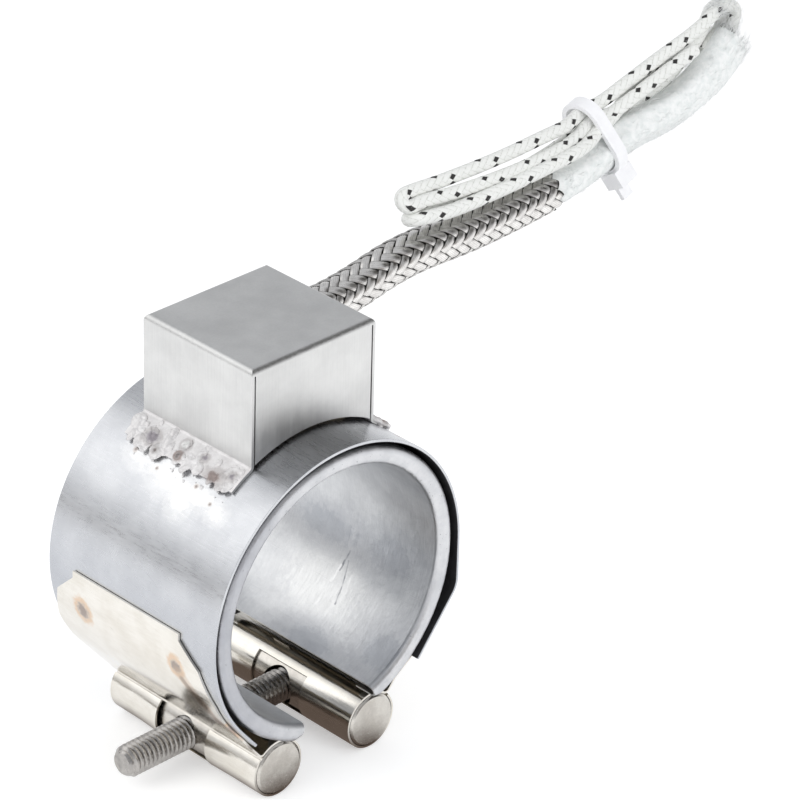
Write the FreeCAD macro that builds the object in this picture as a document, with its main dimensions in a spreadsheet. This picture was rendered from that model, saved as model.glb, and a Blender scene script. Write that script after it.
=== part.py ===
"""Mica nozzle band heater: a clamped ring heater with a terminal box and an armoured lead.

The frame's origin is the centre of the bore. +Y runs along the bore towards the back,
+Z points up to the terminal box and +X towards the lead and the clamp screw's head.
Lengths are in millimetres and angles in degrees, measured from +X towards +Z.
"""

import FreeCAD, Part
import math
import os

from FreeCAD import Placement, Rotation, Vector
import Sketcher

doc = FreeCAD.newDocument("band_heater")

CUT_OVER = 1.0  # how far the outline of a cut reaches past what it cuts
ARC_SHARE = 0.45  # share of a cord's shorter run that a bend at its end takes up

# ---------------------------------------------------------------------------
# Driving dimensions
# ---------------------------------------------------------------------------

SIZES = (
    # The ring and its layers, from the bore outwards
    ("bore_radius", 24.0, "inside radius of the heater on its nozzle"),
    ("core_width", 41.6, "width of the folded core"),
    ("core_wall", 3.4, "thickness of the folded core"),
    ("sheath_gauge", 0.4, "sheet that wraps the core"),
    ("sheath_lip", 5.0, "width of the lips folded over the core's outside"),
    ("sheath_fold", 1.2, "outside radius of the sheath's folds"),
    ("fold_flat", 30.0, "turn from one narrow flat of a fold to the next"),
    ("mica_gauge", 0.6, "thickness of each mica strip"),
    ("ribbon_gauge", 0.15, "thickness of the resistance ribbon"),
    ("ribbon_width", 2.6, "width of the resistance ribbon"),
    ("ribbon_margin", 1.6, "mica left bare beside the winding"),
    ("ribbon_step", 14.0, "angle from one turn of the ribbon to the next, about"),
    ("ribbon_end", 0.5, "angle of mica beyond the last turn"),
    ("cover_setback", 7.0, "angle by which the outer mica leaves the last turn bare"),
    ("layer_gap", 0.05, "clearance between layers"),
    ("core_end_left", 252.5, "angle of the core's left end"),
    ("core_end_right", -69.0, "angle of the core's right end"),
    ("mica_setback", 2.0, "angle by which the mica stops short of the core's ends"),
    ("band_gap", 0.8, "air between the core and the outer sheet"),
    ("band_gauge", 0.6, "thickness of the outer sheet"),
    ("band_overhang", 0.2, "outer sheet standing proud of the core at each side"),
    ("band_tail_left", 5.0, "straight end of the outer sheet, left"),
    ("band_tail_right", 13.0, "straight end of the outer sheet, right"),
    ("shoulder_drop", 8.0, "straight stretch of the sheet down its right side"),
    ("shoulder_radius", 5.0, "bend below that stretch"),
    # The clamp
    ("clamp_offset", 0.8, "clamp set towards the back of the ring"),
    ("barrel_radius", 5.0, "radius of the barrel nuts"),
    ("barrel_length", 38.4, "length of the barrel nuts"),
    ("barrel_chamfer", 0.4, "edge break of the barrel nuts"),
    ("barrel_spread", 11.05, "each barrel nut from the middle"),
    ("barrel_drop", 31.4, "barrel nuts below the bore's axis"),
    ("strap_gauge", 0.4, "thickness of the straps"),
    ("strap_width", 37.6, "width of the straps round the barrel nuts"),
    ("strap_clearance", 0.1, "clearance of a strap on what it wraps"),
    ("strap_fold", 0.7, "inside radius of the fold above each barrel nut"),
    ("strap_seam", 12.0, "angle left open where a strap comes round on itself"),
    ("strap_aim", 0.45, "distance by which a strap's line passes its barrel nut"),
    ("tab_rise", 1.0, "top edge of a strap's tab above the bore's axis"),
    ("tab_width", 27.0, "width of a strap's tab at its top edge"),
    ("tab_corner_drop", 0.3, "end of that width below the bore's axis"),
    ("tab_knee", 36.0, "width of a strap's tab at its knee"),
    ("tab_knee_drop", 4.5, "knee below the bore's axis"),
    ("tab_flare", 40.0, "width of a strap's tab at its widest"),
    ("tab_flare_drop", 11.5, "start of the widest stretch below the bore's axis"),
    ("tab_neck_drop", 21.0, "end of the widest stretch below the bore's axis"),
    ("window_width", 12.4, "screw window through the straps"),
    ("window_height", 8.6, "height of the screw window"),
    ("head_clearance", 0.3, "right strap's window round the screw's head"),
    ("screw_radius", 3.0, "M6 clamp screw"),
    ("screw_length", 45.0, "clamp screw under its head"),
    ("screw_bite", 0.05, "clearance of the screw in the threaded barrel"),
    ("screw_slip", 0.6, "clearance of the screw in the plain barrel"),
    ("screw_seat", 3.75, "flat on the plain barrel, from that barrel's axis"),
    ("head_radius", 5.0, "clamp screw's socket head"),
    ("head_height", 6.0, "height of that head"),
    ("socket_flats", 5.0, "hexagon socket across its flats"),
    ("socket_depth", 3.0, "depth of the hexagon socket"),
    ("tip_chamfer", 0.8, "chamfer at the screw's tip"),
    # The terminal box
    ("box_length", 28.2, "terminal box across the ring"),
    ("box_width", 27.0, "terminal box along the bore"),
    ("box_top", 45.0, "top of the terminal box above the bore's axis"),
    ("box_gauge", 0.6, "sheet of the terminal box"),
    ("box_bend", 1.2, "outside radius of the box's bends"),
    ("box_offset_x", 1.1, "terminal box off the middle, towards the lead"),
    ("box_offset_y", 0.8, "terminal box off the middle, towards the back"),
    ("box_seam", 0.25, "open seam at the box's corners"),
    ("box_seat", 2.0, "length of each side wall made with its foot"),
    ("box_skirt_gap", 0.7, "gap below the box's front and back walls"),
    ("foot_reach", 9.5, "angle that each foot of the box covers on the ring"),
    ("foot_fold", 0.5, "inside radius of the bend above each foot"),
    ("foot_gap", 0.05, "clearance of a foot on the outer sheet"),
    # Inside the box
    ("hatch_length", 13.0, "opening in the outer sheet under the box, across the ring"),
    ("hatch_width", 18.0, "opening in the outer sheet under the box, along the bore"),
    ("pad_gauge", 0.8, "mica pad over that opening"),
    ("pad_reach", 21.0, "angle that the pad covers on each side of the top"),
    ("pad_width", 23.0, "width of the pad"),
    ("bus_gauge", 0.2, "thickness of the nickel strips"),
    ("bus_width", 4.0, "width of the nickel strips"),
    ("bus_pitch", 6.2, "each nickel strip from the middle of the core"),
    ("bus_turn", 8.0, "angle from the top at which a strip turns up"),
    ("bus_slot", 0.4, "clearance of a nickel strip in its slot of the pad"),
    ("crimp_length", 5.0, "length of the crimps"),
    ("crimp_width", 4.6, "width of the crimps"),
    ("crimp_height", 4.0, "height of the crimps"),
    ("crimp_grip", 1.8, "depth of a nickel strip in its crimp"),
    ("crimp_back", 1.0, "crimp behind its nickel strip"),
    ("crimp_bore", 2.4, "depth of a lead in its crimp"),
    ("crimp_gap", 0.05, "clearance of what a crimp holds"),
    ("lead_radius", 1.25, "insulated lead"),
    ("lead_gap", 0.2, "clearance between the two leads"),
    ("lead_share", 0.25, "share of its way that each lead goes straight at both ends"),
    # The lead's way out
    ("outlet_y", 5.0, "lead outlet from the middle, towards the back"),
    ("outlet_drop", 6.4, "lead outlet below the box's top"),
    ("eyelet_bore", 2.9, "bore radius of the outlet's eyelet"),
    ("eyelet_wall", 0.7, "wall of the eyelet"),
    ("eyelet_flange", 4.4, "radius of the eyelet's flanges"),
    ("flange_gauge", 0.6, "thickness of the eyelet's flanges"),
    ("eyelet_gap", 0.05, "clearance of the eyelet in the box"),
    ("braid_radius", 3.8, "armour braid"),
    ("sleeve_radius", 3.4, "glass sleeve"),
    # Cable tie
    ("tie_width", 2.6, "width of the cable tie's strap"),
    ("tie_gauge", 1.0, "thickness of that strap"),
    ("tie_gap", 0.15, "clearance of the strap on the sleeve"),
    ("tie_head", 4.4, "side of the cable tie's head"),
    ("tie_head_height", 3.2, "height of that head"),
    ("tie_tail", 4.5, "cut end of the cable tie, below its head"),
    ("tie_sink", 0.3, "depth of the tie's strap in its head"),
    ("tail_offset", 0.6, "cut end off the middle of the tie's head"),
    ("tail_hold", 1.5, "distance from the strap to where the cut end starts"),
)

sheet = doc.addObject("Spreadsheet::Sheet", "Sizes")
for row, (alias, value, note) in enumerate(SIZES, 1):
    sheet.set("A%d" % row, alias)
    sheet.set("B%d" % row, str(value))
    sheet.set("C%d" % row, note)
    sheet.setAlias("B%d" % row, alias)
doc.recompute()


# Sizes worked out from those, each layer from the one inside it
DERIVED = (
    ("core_out", "Sizes.bore_radius + Sizes.core_wall"),
    ("mica_in", "Sizes.bore_radius + Sizes.sheath_gauge + Sizes.layer_gap"),
    ("mica_out", "Derived.mica_in + Sizes.mica_gauge"),
    ("winding_in", "Derived.mica_out + Sizes.layer_gap"),
    ("former_in", "Derived.winding_in + Sizes.ribbon_gauge + Sizes.layer_gap"),
    ("former_out", "Derived.former_in + Sizes.mica_gauge"),
    ("winding_out", "Derived.former_out + Sizes.layer_gap + Sizes.ribbon_gauge"),
    ("cover_in", "Derived.winding_out + Sizes.layer_gap"),
    ("cover_out", "Derived.cover_in + Sizes.mica_gauge"),
    ("bus_in", "Derived.cover_out + Sizes.layer_gap"),
    ("bus_out", "Derived.bus_in + Sizes.bus_gauge"),
    ("mica_width", "Sizes.core_width - 2 * Sizes.sheath_fold"),
    ("mica_left", "Sizes.core_end_left - Sizes.mica_setback"),
    ("mica_right", "Sizes.core_end_right + Sizes.mica_setback"),
    ("former_width", "Derived.mica_width - 2 * Sizes.ribbon_margin"),
    ("cover_left", "Derived.mica_left - Sizes.cover_setback"),
    ("cover_right", "Derived.mica_right + Sizes.cover_setback"),
    ("band_in", "Derived.core_out + Sizes.band_gap"),
    ("band_out", "Derived.band_in + Sizes.band_gauge"),
    ("band_width", "Sizes.core_width + 2 * Sizes.band_overhang"),
    ("strap_in", "Derived.band_out + Sizes.strap_clearance"),
    ("loop_in", "Sizes.barrel_radius + Sizes.strap_clearance"),
    ("loop_out", "Derived.loop_in + Sizes.strap_gauge"),
    ("foot_in", "Derived.band_out + Sizes.foot_gap"),
    ("foot_out", "Derived.foot_in + Sizes.box_gauge"),
    ("barrel_z", "-Sizes.barrel_drop"),
    ("box_left", "Sizes.box_offset_x - Sizes.box_length / 2"),
    ("box_right", "Sizes.box_offset_x + Sizes.box_length / 2"),
    ("eyelet_out", "Sizes.eyelet_bore + Sizes.eyelet_wall"),
    ("seat_x", "Sizes.barrel_spread + Sizes.screw_seat"),
    ("tip_x", "Derived.seat_x - Sizes.screw_length"),
    ("head_x", "Derived.seat_x + Sizes.head_height"),
    ("braid_x", "Derived.box_right + Sizes.flange_gauge"),
    ("outlet_z", "Sizes.box_top - Sizes.outlet_drop"),
    ("crimp_low", "Derived.outlet_z - Sizes.crimp_height / 2"),
    ("bus_top", "Derived.crimp_low + Sizes.crimp_grip"),
    ("pad_in", "Derived.band_out + Sizes.foot_gap"),
    ("pad_out", "Derived.pad_in + Sizes.pad_gauge"),
)

derived = doc.addObject("App::VarSet", "Derived")
for alias, formula in DERIVED:
    derived.addProperty("App::PropertyFloat", alias)
    derived.setExpression(alias, formula)
doc.recompute()


def size(alias):
    """Value of a driving or a derived dimension."""
    if alias in derived.PropertiesList:
        return float(getattr(derived, alias))
    return float(sheet.get(alias))


def finish(body, label):
    """Name a sub-part."""
    body.Label = label
    return body


def polar(radius, angle):
    """Point of the ring's plane, across and up, at a radius and an angle."""
    turn = math.radians(angle)
    return (radius * math.cos(turn), radius * math.sin(turn))


# ---------------------------------------------------------------------------
# Folded strips: a line walked in bends and straights, with a thickness on its right
# ---------------------------------------------------------------------------


def walk(start, heading, steps):
    """Edges of a line that starts at a point and follows ("line", length) and
    ("bend", radius, sweep) steps; a positive sweep turns left."""
    x, z = start
    edges = []
    for step in steps:
        dx, dz = polar(1.0, heading)
        if step[0] == "line":
            end = (x + step[1] * dx, z + step[1] * dz)
            edges.append(("line", (x, z), end))
        else:
            radius, sweep = step[1], step[2]
            side = math.copysign(1.0, sweep)
            centre = (x - side * radius * dz, z + side * radius * dx)
            begin = heading - side * 90.0
            out = polar(radius, begin + sweep)
            end = (centre[0] + out[0], centre[1] + out[1])
            edges.append(("arc", centre, radius, begin, sweep))
            heading += sweep
        x, z = end
    return edges


def shifted(edges, gauge):
    """The same line moved to its right by a thickness."""
    moved = []
    for edge in edges:
        if edge[0] == "line":
            (ax, az), (bx, bz) = edge[1], edge[2]
            span = math.hypot(bx - ax, bz - az)
            nx, nz = gauge * (bz - az) / span, -gauge * (bx - ax) / span
            moved.append(("line", (ax + nx, az + nz), (bx + nx, bz + nz)))
        else:
            centre, radius, begin, sweep = edge[1:]
            grown = radius + gauge if sweep > 0 else radius - gauge
            moved.append(("arc", centre, grown, begin, sweep))
    return moved


def ends(edge):
    """First and last point of an edge."""
    if edge[0] == "line":
        return edge[1], edge[2]
    centre, radius, begin, sweep = edge[1:5]
    first, last = polar(radius, begin), polar(radius, begin + sweep)
    return (centre[0] + first[0], centre[1] + first[1]), (centre[0] + last[0], centre[1] + last[1])


def strip(edges, gauge):
    """Closed outline of a strip: the line, its end, the line moved over, its start."""
    other = shifted(edges, gauge)
    begin, end = ends(edges[0])[0], ends(edges[-1])[1]
    far_begin, far_end = ends(other[0])[0], ends(other[-1])[1]
    return edges + other + [("line", end, far_end), ("line", far_begin, begin)]


def mirrored(outline):
    """Outline mirrored left to right."""
    turned = []
    for edge in outline:
        if edge[0] == "line":
            turned.append(("line", (-edge[1][0], edge[1][1]), (-edge[2][0], edge[2][1])))
        else:
            centre, radius, begin, sweep = edge[1:]
            turned.append(("arc", (-centre[0], centre[1]), radius, 180.0 - begin, -sweep))
    return turned


def aim(centre, radius, target, miss):
    """Heading of the line that leaves a left-hand bend and passes a point by a distance."""
    dx, dz = target[0] - centre[0], target[1] - centre[1]
    return math.degrees(math.atan2(dz, dx) - math.asin((miss - radius) / math.hypot(dx, dz)))


# ---------------------------------------------------------------------------
# PartDesign helpers
# ---------------------------------------------------------------------------


def plane(body, role):
    """One of a body's own origin planes or axes."""
    return next(item for item in body.Origin.OriginFeatures if item.Role == role)


def bind_ring(sketch, index, radius, formula):
    """Hold an arc on the sketch's origin, with its radius bound to a formula."""
    sketch.addConstraint(Sketcher.Constraint("Coincident", index, 3, -1, 1))
    count = sketch.addConstraint(Sketcher.Constraint("Radius", index, radius))
    sketch.setExpression("Constraints[%d]" % count, formula)


def sketch_on(body, name, role, outlines):
    """Sketch of closed outlines on an origin plane, its corners held together."""
    sketch = body.newObject("Sketcher::SketchObject", name)
    sketch.AttachmentSupport = [(plane(body, role), "")]
    sketch.MapMode = "FlatFace"
    flat = Vector(0, 0, 1)
    corners = {}
    for outline in outlines:
        for edge in outline:
            if edge[0] == "line":
                (ax, az), (bx, bz) = edge[1], edge[2]
                index = sketch.addGeometry(Part.LineSegment(Vector(ax, az, 0), Vector(bx, bz, 0)))
                marks = ((edge[1], 1), (edge[2], 2))
            elif edge[0] == "circle":
                sketch.addGeometry(Part.Circle(Vector(edge[1][0], edge[1][1], 0), flat, edge[2]))
                continue
            else:
                centre, radius, begin, sweep = edge[1:5]
                low, high = sorted((math.radians(begin), math.radians(begin + sweep)))
                circle = Part.Circle(Vector(centre[0], centre[1], 0), flat, radius)
                index = sketch.addGeometry(Part.ArcOfCircle(circle, low, high))
                first, last = ends(edge)
                marks = ((first, 1), (last, 2)) if sweep > 0 else ((last, 1), (first, 2))
                if len(edge) > 5:
                    bind_ring(sketch, index, radius, edge[5])
            for point, mark in marks:
                key = (round(point[0], 5), round(point[1], 5))
                if key in corners:
                    other, other_mark = corners[key]
                    sketch.addConstraint(Sketcher.Constraint("Coincident", index, mark, other, other_mark))
                else:
                    corners[key] = (index, mark)
    return sketch


def body_named(label, y_expression=None):
    """Empty body, set along the bore by an expression."""
    body = finish(doc.addObject("PartDesign::Body", label), label)
    if y_expression:
        body.setExpression(".Placement.Base.y", y_expression)
    return body


def pad(body, sketch, length_expression):
    """Pad of a sketch to both sides of its plane."""
    feature = body.newObject("PartDesign::Pad", sketch.Name + "_pad")
    feature.Profile = sketch
    feature.Midplane = True
    feature.setExpression("Length", length_expression)
    sketch.Visibility = False
    return feature


def cut_through(body, sketch):
    """Pocket of a sketch through the whole body, both ways."""
    before = body.Shape.Volume if not body.Shape.isNull() else 0.0
    feature = body.newObject("PartDesign::Pocket", sketch.Name + "_cut")
    feature.Profile = sketch
    feature.Type = "ThroughAll"
    feature.Midplane = True
    doc.recompute()
    if before and body.Shape.Volume >= before:
        raise RuntimeError(body.Label + ": " + sketch.Name + " cuts nothing")
    return feature


def box_outline(low_u, high_u, low_v, high_v):
    """Rectangle as four lines."""
    a, b, c, d = (low_u, low_v), (high_u, low_v), (high_u, high_v), (low_u, high_v)
    return [("line", a, b), ("line", b, c), ("line", c, d), ("line", d, a)]


def polygon(points):
    """Closed polygon as lines."""
    return [("line", a, b) for a, b in zip(points, points[1:] + points[:1])]


def sector(inner, outer, low, high):
    """Outline between two radii, given as formulas, from one angle to another."""
    small, large = size(inner.split(".")[1]), size(outer.split(".")[1])
    return [
        ("arc", (0.0, 0.0), large, low, high - low, outer),
        ("line", polar(large, high), polar(small, high)),
        ("arc", (0.0, 0.0), small, low, high - low, inner),
        ("line", polar(small, low), polar(large, low)),
    ]


def ring(label, inner, outer, width, low, high, y_expression=None):
    """Sub-part that is a sector of a ring, of a width along the bore."""
    body = body_named(label, y_expression)
    pad(body, sketch_on(body, label + "_outline", "XZ_Plane", [sector(inner, outer, low, high)]), width)
    doc.recompute()
    return body


# ---------------------------------------------------------------------------
# Folded core: a sheath rolled round three mica strips and a ribbon winding
# ---------------------------------------------------------------------------


def core_sheath():
    """Sheet wall against the nozzle, folded outwards at both sides and back in two lips."""
    body = body_named("core_sheath")
    half = size("core_width") / 2
    gauge, fold, lip = size("sheath_gauge"), size("sheath_fold"), size("sheath_lip")
    low, high = size("bore_radius"), size("core_out")
    corners = (((high - fold, half - fold), 0.0), ((low + fold, half - fold), 90.0),
               ((low + fold, fold - half), 180.0), ((high - fold, fold - half), 270.0))
    # Each rolled edge is three narrow flats, as a rolling tool leaves it
    line = [(high, half - lip)]
    turn = size("fold_flat")
    steps = range(round(90.0 / turn) + 1)
    for centre, begin in corners:
        for step in steps:
            out = polar(fold, begin + turn * step)
            line.append((centre[0] + out[0], centre[1] + out[1]))
    line.append((high, lip - half))
    inner = [(high - gauge, lip - half)]
    for centre, begin in reversed(corners):
        for step in reversed(steps):
            out = polar(fold - gauge, begin + turn * step)
            inner.append((centre[0] + out[0], centre[1] + out[1]))
    inner.append((high - gauge, half - lip))
    profile = sketch_on(body, "sheath_section", "XY_Plane", [polygon(line + inner)])
    roll = body.newObject("PartDesign::Revolution", "sheath_roll")
    roll.Profile = profile
    roll.ReferenceAxis = (plane(body, "Y_Axis"), [""])
    roll.Midplane = True
    roll.setExpression("Angle", "Sizes.core_end_left - Sizes.core_end_right")
    middle = (size("core_end_left") + size("core_end_right")) / 2
    body.Placement = Placement(Vector(), Rotation(Vector(0, 1, 0), -middle))
    return body


def between(inner, outer, low, high, front, back):
    """Solid sector between two radii, two angles and two places along the bore."""
    middle = (low + high) / 2
    large = [polar(outer, angle) for angle in (low, middle, high)]
    small = [polar(inner, angle) for angle in (high, middle, low)]
    points = [Vector(u, front, v) for u, v in large + small]
    edges = [
        Part.Arc(points[0], points[1], points[2]).toShape(),
        Part.makeLine(points[2], points[3]),
        Part.Arc(points[3], points[4], points[5]).toShape(),
        Part.makeLine(points[5], points[0]),
    ]
    return Part.Face(Part.Wire(edges)).extrude(Vector(0, back - front, 0))


def joined(label, solids):
    """Sub-part made of touching solids fused into one."""
    shape = solids[0].multiFuse(solids[1:]).removeSplitter()
    piece = finish(doc.addObject("Part::Feature", label), label)
    piece.Shape = shape.Solids[0] if len(shape.Solids) == 1 else shape
    return piece


def resistance_ribbon():
    """One ribbon wound round the former: across its outside, over its edge, back inside."""
    first = size("mica_right") + size("ribbon_end")
    last = size("mica_left") - size("ribbon_end")
    spread = math.degrees(size("ribbon_width") / size("former_out"))
    turns = int((last - first - spread) / size("ribbon_step"))
    step = (last - first - spread) / turns
    inside = (size("winding_in"), size("former_in") - size("layer_gap"))
    outside = (size("former_out") + size("layer_gap"), size("winding_out"))
    both = (inside[0], outside[1])
    edge = size("former_width") / 2 + size("layer_gap")
    over = edge + size("ribbon_gauge")
    solids = []
    for turn in range(turns + 1):
        low = first + turn * step
        solids.append(between(*outside, low, low + spread, -over, over))
        if turn == turns:
            break
        halfway = low + step / 2
        solids.append(between(*both, low, halfway + spread, edge, over))
        solids.append(between(*inside, halfway, halfway + spread, -over, over))
        solids.append(between(*both, halfway, low + step + spread, -over, -edge))
    return joined("resistance_ribbon", solids)


def bus_strip(label, side):
    """Nickel strip from one end of the winding, over the outer mica, up into the box.
    side is -1 for the left half of the ring and 1 for the right half."""
    spread = math.degrees(size("ribbon_width") / size("former_out"))
    if side < 0:
        far = size("mica_left") - size("ribbon_end") - spread / 2
        near = 90.0 + size("bus_turn")
    else:
        far = size("mica_right") + size("ribbon_end") + spread / 2
        near = 90.0 - size("bus_turn")
    low, high = sorted((near, far))
    middle = side * size("bus_pitch")
    front, back = middle - size("bus_width") / 2, middle + size("bus_width") / 2
    thin = math.degrees(size("bus_gauge") / size("bus_in"))
    leg = sorted((far, far + side * thin))
    run = between(size("bus_in"), size("bus_out"), min(low, leg[0]), max(high, leg[1]), front, back)
    down = between(size("winding_out"), size("bus_out"), leg[0], leg[1], front, back)
    x, z = polar(size("bus_in"), near)
    across = sorted((x, x + side * size("bus_gauge")))
    corner = Vector(across[0], front, z)
    up = Part.makeBox(size("bus_gauge"), size("bus_width"), size("bus_top") - z, corner)
    return joined(label, [run, down, up])


core_sheath()
ring("mica_inner", "Derived.mica_in", "Derived.mica_out", "Derived.mica_width",
     size("mica_right"), size("mica_left"))
ring("winding_former", "Derived.former_in", "Derived.former_out", "Derived.former_width",
     size("mica_right"), size("mica_left"))
resistance_ribbon()
ring("mica_outer", "Derived.cover_in", "Derived.cover_out", "Derived.mica_width",
     size("cover_right"), size("cover_left"))
bus_strip("bus_strip_front", -1)
bus_strip("bus_strip_back", 1)


# ---------------------------------------------------------------------------
# Outer sheet, straps, barrel nuts and clamp screw
# ---------------------------------------------------------------------------

BARREL = (-size("barrel_spread"), size("barrel_z"))
LEFT_SLOPE = aim((0.0, 0.0), size("strap_in"), BARREL, size("strap_aim"))
SHOULDER = (-size("strap_in") + size("shoulder_radius"), -size("shoulder_drop"))
RIGHT_SLOPE = aim(SHOULDER, size("shoulder_radius"), BARREL, size("strap_aim"))


def outer_sheet():
    """Rolled sheet round the core, open at the bottom, with a hatch under the box."""
    bend = size("shoulder_radius") - size("strap_clearance") - size("band_gauge")
    inside = size("band_in")
    turn = RIGHT_SLOPE + 90.0
    # The right side is walked as a left side first, to find where it ends
    down = walk((-inside, 0.0), -90.0, (
        ("line", size("shoulder_drop")),
        ("bend", bend, turn),
        ("line", size("band_tail_right")),
    ))
    tail_x, tail_z = ends(down[-1])[1]
    line = walk((-tail_x, tail_z), -RIGHT_SLOPE, (
        ("line", size("band_tail_right")),
        ("bend", bend, turn),
        ("line", size("shoulder_drop")),
        ("bend", inside, 270.0 + LEFT_SLOPE),
        ("line", size("band_tail_left")),
    ))
    body = body_named("outer_sheet")
    pad(body, sketch_on(body, "sheet_line", "XZ_Plane", [strip(line, size("band_gauge"))]),
        "Derived.band_width")
    hatch_x, hatch_y = size("hatch_length") / 2, size("hatch_width") / 2
    hatch = box_outline(-hatch_x, hatch_x, -hatch_y, hatch_y)
    cut_through(body, sketch_on(body, "hatch", "XY_Plane", [hatch]))
    return body


def strap_line(shoulder):
    """Line of a strap's inner face on the left side: down the ring, then round the barrel."""
    inside = size("strap_in")
    lead_in = math.degrees(math.asin(size("tab_rise") / inside))
    start = polar(inside, 180.0 - lead_in)
    if shoulder:
        slope = RIGHT_SLOPE
        steps = [
            ("bend", inside, lead_in),
            ("line", size("shoulder_drop")),
            ("bend", size("shoulder_radius"), slope + 90.0),
        ]
    else:
        slope = LEFT_SLOPE
        steps = [("bend", inside, lead_in + slope + 90.0)]
    x, z = ends(walk(start, -90.0 - lead_in, steps)[-1])[1]
    dx, dz = polar(1.0, slope)
    fold, loop = size("strap_fold"), size("loop_out")
    to_x, to_z = BARREL[0] - x + fold * dz, BARREL[1] - z - fold * dx
    along, across = to_x * dx + to_z * dz, to_z * dx - to_x * dz
    run = along - math.sqrt((fold + loop) ** 2 - across ** 2)
    contact = math.degrees(math.atan2(run * dz - to_z, run * dx - to_x))
    free_end = slope + 180.0 + size("strap_seam")
    steps += [
        ("line", run),
        ("bend", fold, contact - 90.0 - slope),
        ("bend", loop, -(contact - free_end + 360.0)),
    ]
    return walk(start, -90.0 - lead_in, steps)


def strap(label, right):
    """Strap: a flared tab that lies on the outer sheet and a loop round a barrel nut,
    with a window through both sides of the loop for the screw."""
    outline = strip(strap_line(right), size("strap_gauge"))
    body = body_named(label, "Sizes.clamp_offset")
    shape = mirrored(outline) if right else outline
    pad(body, sketch_on(body, label + "_line", "XZ_Plane", [shape]), "Sizes.tab_flare")
    top, narrow = size("tab_rise") + CUT_OVER, size("tab_width") / 2
    knee, wide, loop = size("tab_knee") / 2, size("tab_flare") / 2, size("strap_width") / 2
    below = BARREL[1] - size("loop_out") - CUT_OVER
    neck = BARREL[1] + size("loop_out") + size("strap_fold")
    waste = [
        (narrow, top),
        (narrow, -size("tab_corner_drop")),
        (knee, -size("tab_knee_drop")),
        (wide, -size("tab_flare_drop")),
        (wide, -size("tab_neck_drop")),
        (loop, neck),
        (loop, below),
        (wide + CUT_OVER, below),
        (wide + CUT_OVER, top),
    ]
    flipped = [(-u, v) for u, v in waste]
    cut_through(body, sketch_on(body, label + "_waste", "YZ_Plane", [polygon(waste), polygon(flipped)]))
    half_u, half_v = size("window_width") / 2, size("window_height") / 2
    window = box_outline(-half_u, half_u, BARREL[1] - half_v, BARREL[1] + half_v)
    cut_through(body, sketch_on(body, label + "_window", "YZ_Plane", [window]))
    if right:
        # The outer side's window is higher, so that the screw's head passes
        tall = size("head_radius") + size("head_clearance")
        opening = box_outline(-half_u, half_u, BARREL[1] - tall, BARREL[1] + tall)
        sketch = sketch_on(body, label + "_head_window", "YZ_Plane", [opening])
        sketch.AttachmentOffset = Placement(Vector(0, 0, -BARREL[0]), Rotation())
        feature = body.newObject("PartDesign::Pocket", label + "_head_cut")
        feature.Profile = sketch
        feature.Reversed = True
        feature.setExpression("Length", "Sizes.barrel_radius * 2")
        doc.recompute()
    return body


def barrel(label, side, hole_radius, flat):
    """Barrel nut across the ring's end: a short rod with a cross hole for the screw."""
    body = body_named(label, "Sizes.clamp_offset")
    body.setExpression(".Placement.Base.x", "%d * Sizes.barrel_spread" % side)
    body.setExpression(".Placement.Base.z", "-Sizes.barrel_drop")
    round_face = [("circle", (0.0, 0.0), size("barrel_radius"))]
    rod = pad(body, sketch_on(body, label + "_end", "XZ_Plane", [round_face]), "Sizes.barrel_length")
    doc.recompute()
    rims = ["Edge%d" % (n + 1) for n, e in enumerate(rod.Shape.Edges) if e.Curve.TypeId == "Part::GeomCircle"]
    brk = body.newObject("PartDesign::Chamfer", label + "_break")
    brk.Base = (rod, rims)
    brk.setExpression("Size", "Sizes.barrel_chamfer")
    cut_through(body, sketch_on(body, label + "_hole", "YZ_Plane", [[("circle", (0.0, 0.0), hole_radius)]]))
    if flat:
        reach = size("barrel_radius") + CUT_OVER
        seat = box_outline(size("screw_seat"), reach, -reach, reach)
        sketch = sketch_on(body, label + "_seat", "XZ_Plane", [seat])
        feature = body.newObject("PartDesign::Pocket", label + "_flat")
        feature.Profile = sketch
        feature.Midplane = True
        feature.setExpression("Length", "Sizes.window_width")
    doc.recompute()
    return body


def clamp_screw():
    """Socket head screw: head on the right barrel's flat, tip through the left barrel."""
    body = body_named("clamp_screw", "Sizes.clamp_offset")
    body.setExpression(".Placement.Base.z", "-Sizes.barrel_drop")
    tip, seat, top = size("tip_x"), size("seat_x"), size("head_x")
    shank, head, chamfer = size("screw_radius"), size("head_radius"), size("tip_chamfer")
    rim = size("barrel_chamfer")
    half = polygon([
        (tip, 0.0),
        (tip, shank - chamfer),
        (tip + chamfer, shank),
        (seat, shank),
        (seat, head),
        (top - rim, head),
        (top, head - rim),
        (top, 0.0),
    ])
    turn = body.newObject("PartDesign::Revolution", "screw_turning")
    turn.Profile = sketch_on(body, "screw_half", "XZ_Plane", [half])
    body.Tip = turn
    turn.ReferenceAxis = (plane(body, "X_Axis"), [""])
    turn.Angle = 360.0
    corner = size("socket_flats") / math.sqrt(3.0)
    hexagon = polygon([polar(corner, 60.0 * n) for n in range(6)])
    socket = sketch_on(body, "screw_hexagon", "YZ_Plane", [hexagon])
    socket.AttachmentOffset = Placement(Vector(0, 0, top), Rotation())
    feature = body.newObject("PartDesign::Pocket", "screw_socket")
    feature.Profile = socket
    feature.setExpression("Length", "Sizes.socket_depth")
    doc.recompute()
    return body


outer_sheet()
strap("left_strap", False)
strap("right_strap", True)
barrel("threaded_barrel", -1, size("screw_radius") + size("screw_bite"), False)
barrel("plain_barrel", 1, size("screw_radius") + size("screw_slip"), True)
clamp_screw()


# ---------------------------------------------------------------------------
# Terminal box, and what is in it
# ---------------------------------------------------------------------------


def edges_at(shape, test):
    """Names of a shape's edges whose middle passes a test."""
    return ["Edge%d" % (n + 1) for n, e in enumerate(shape.Edges) if test(e.CenterOfMass)]


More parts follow.
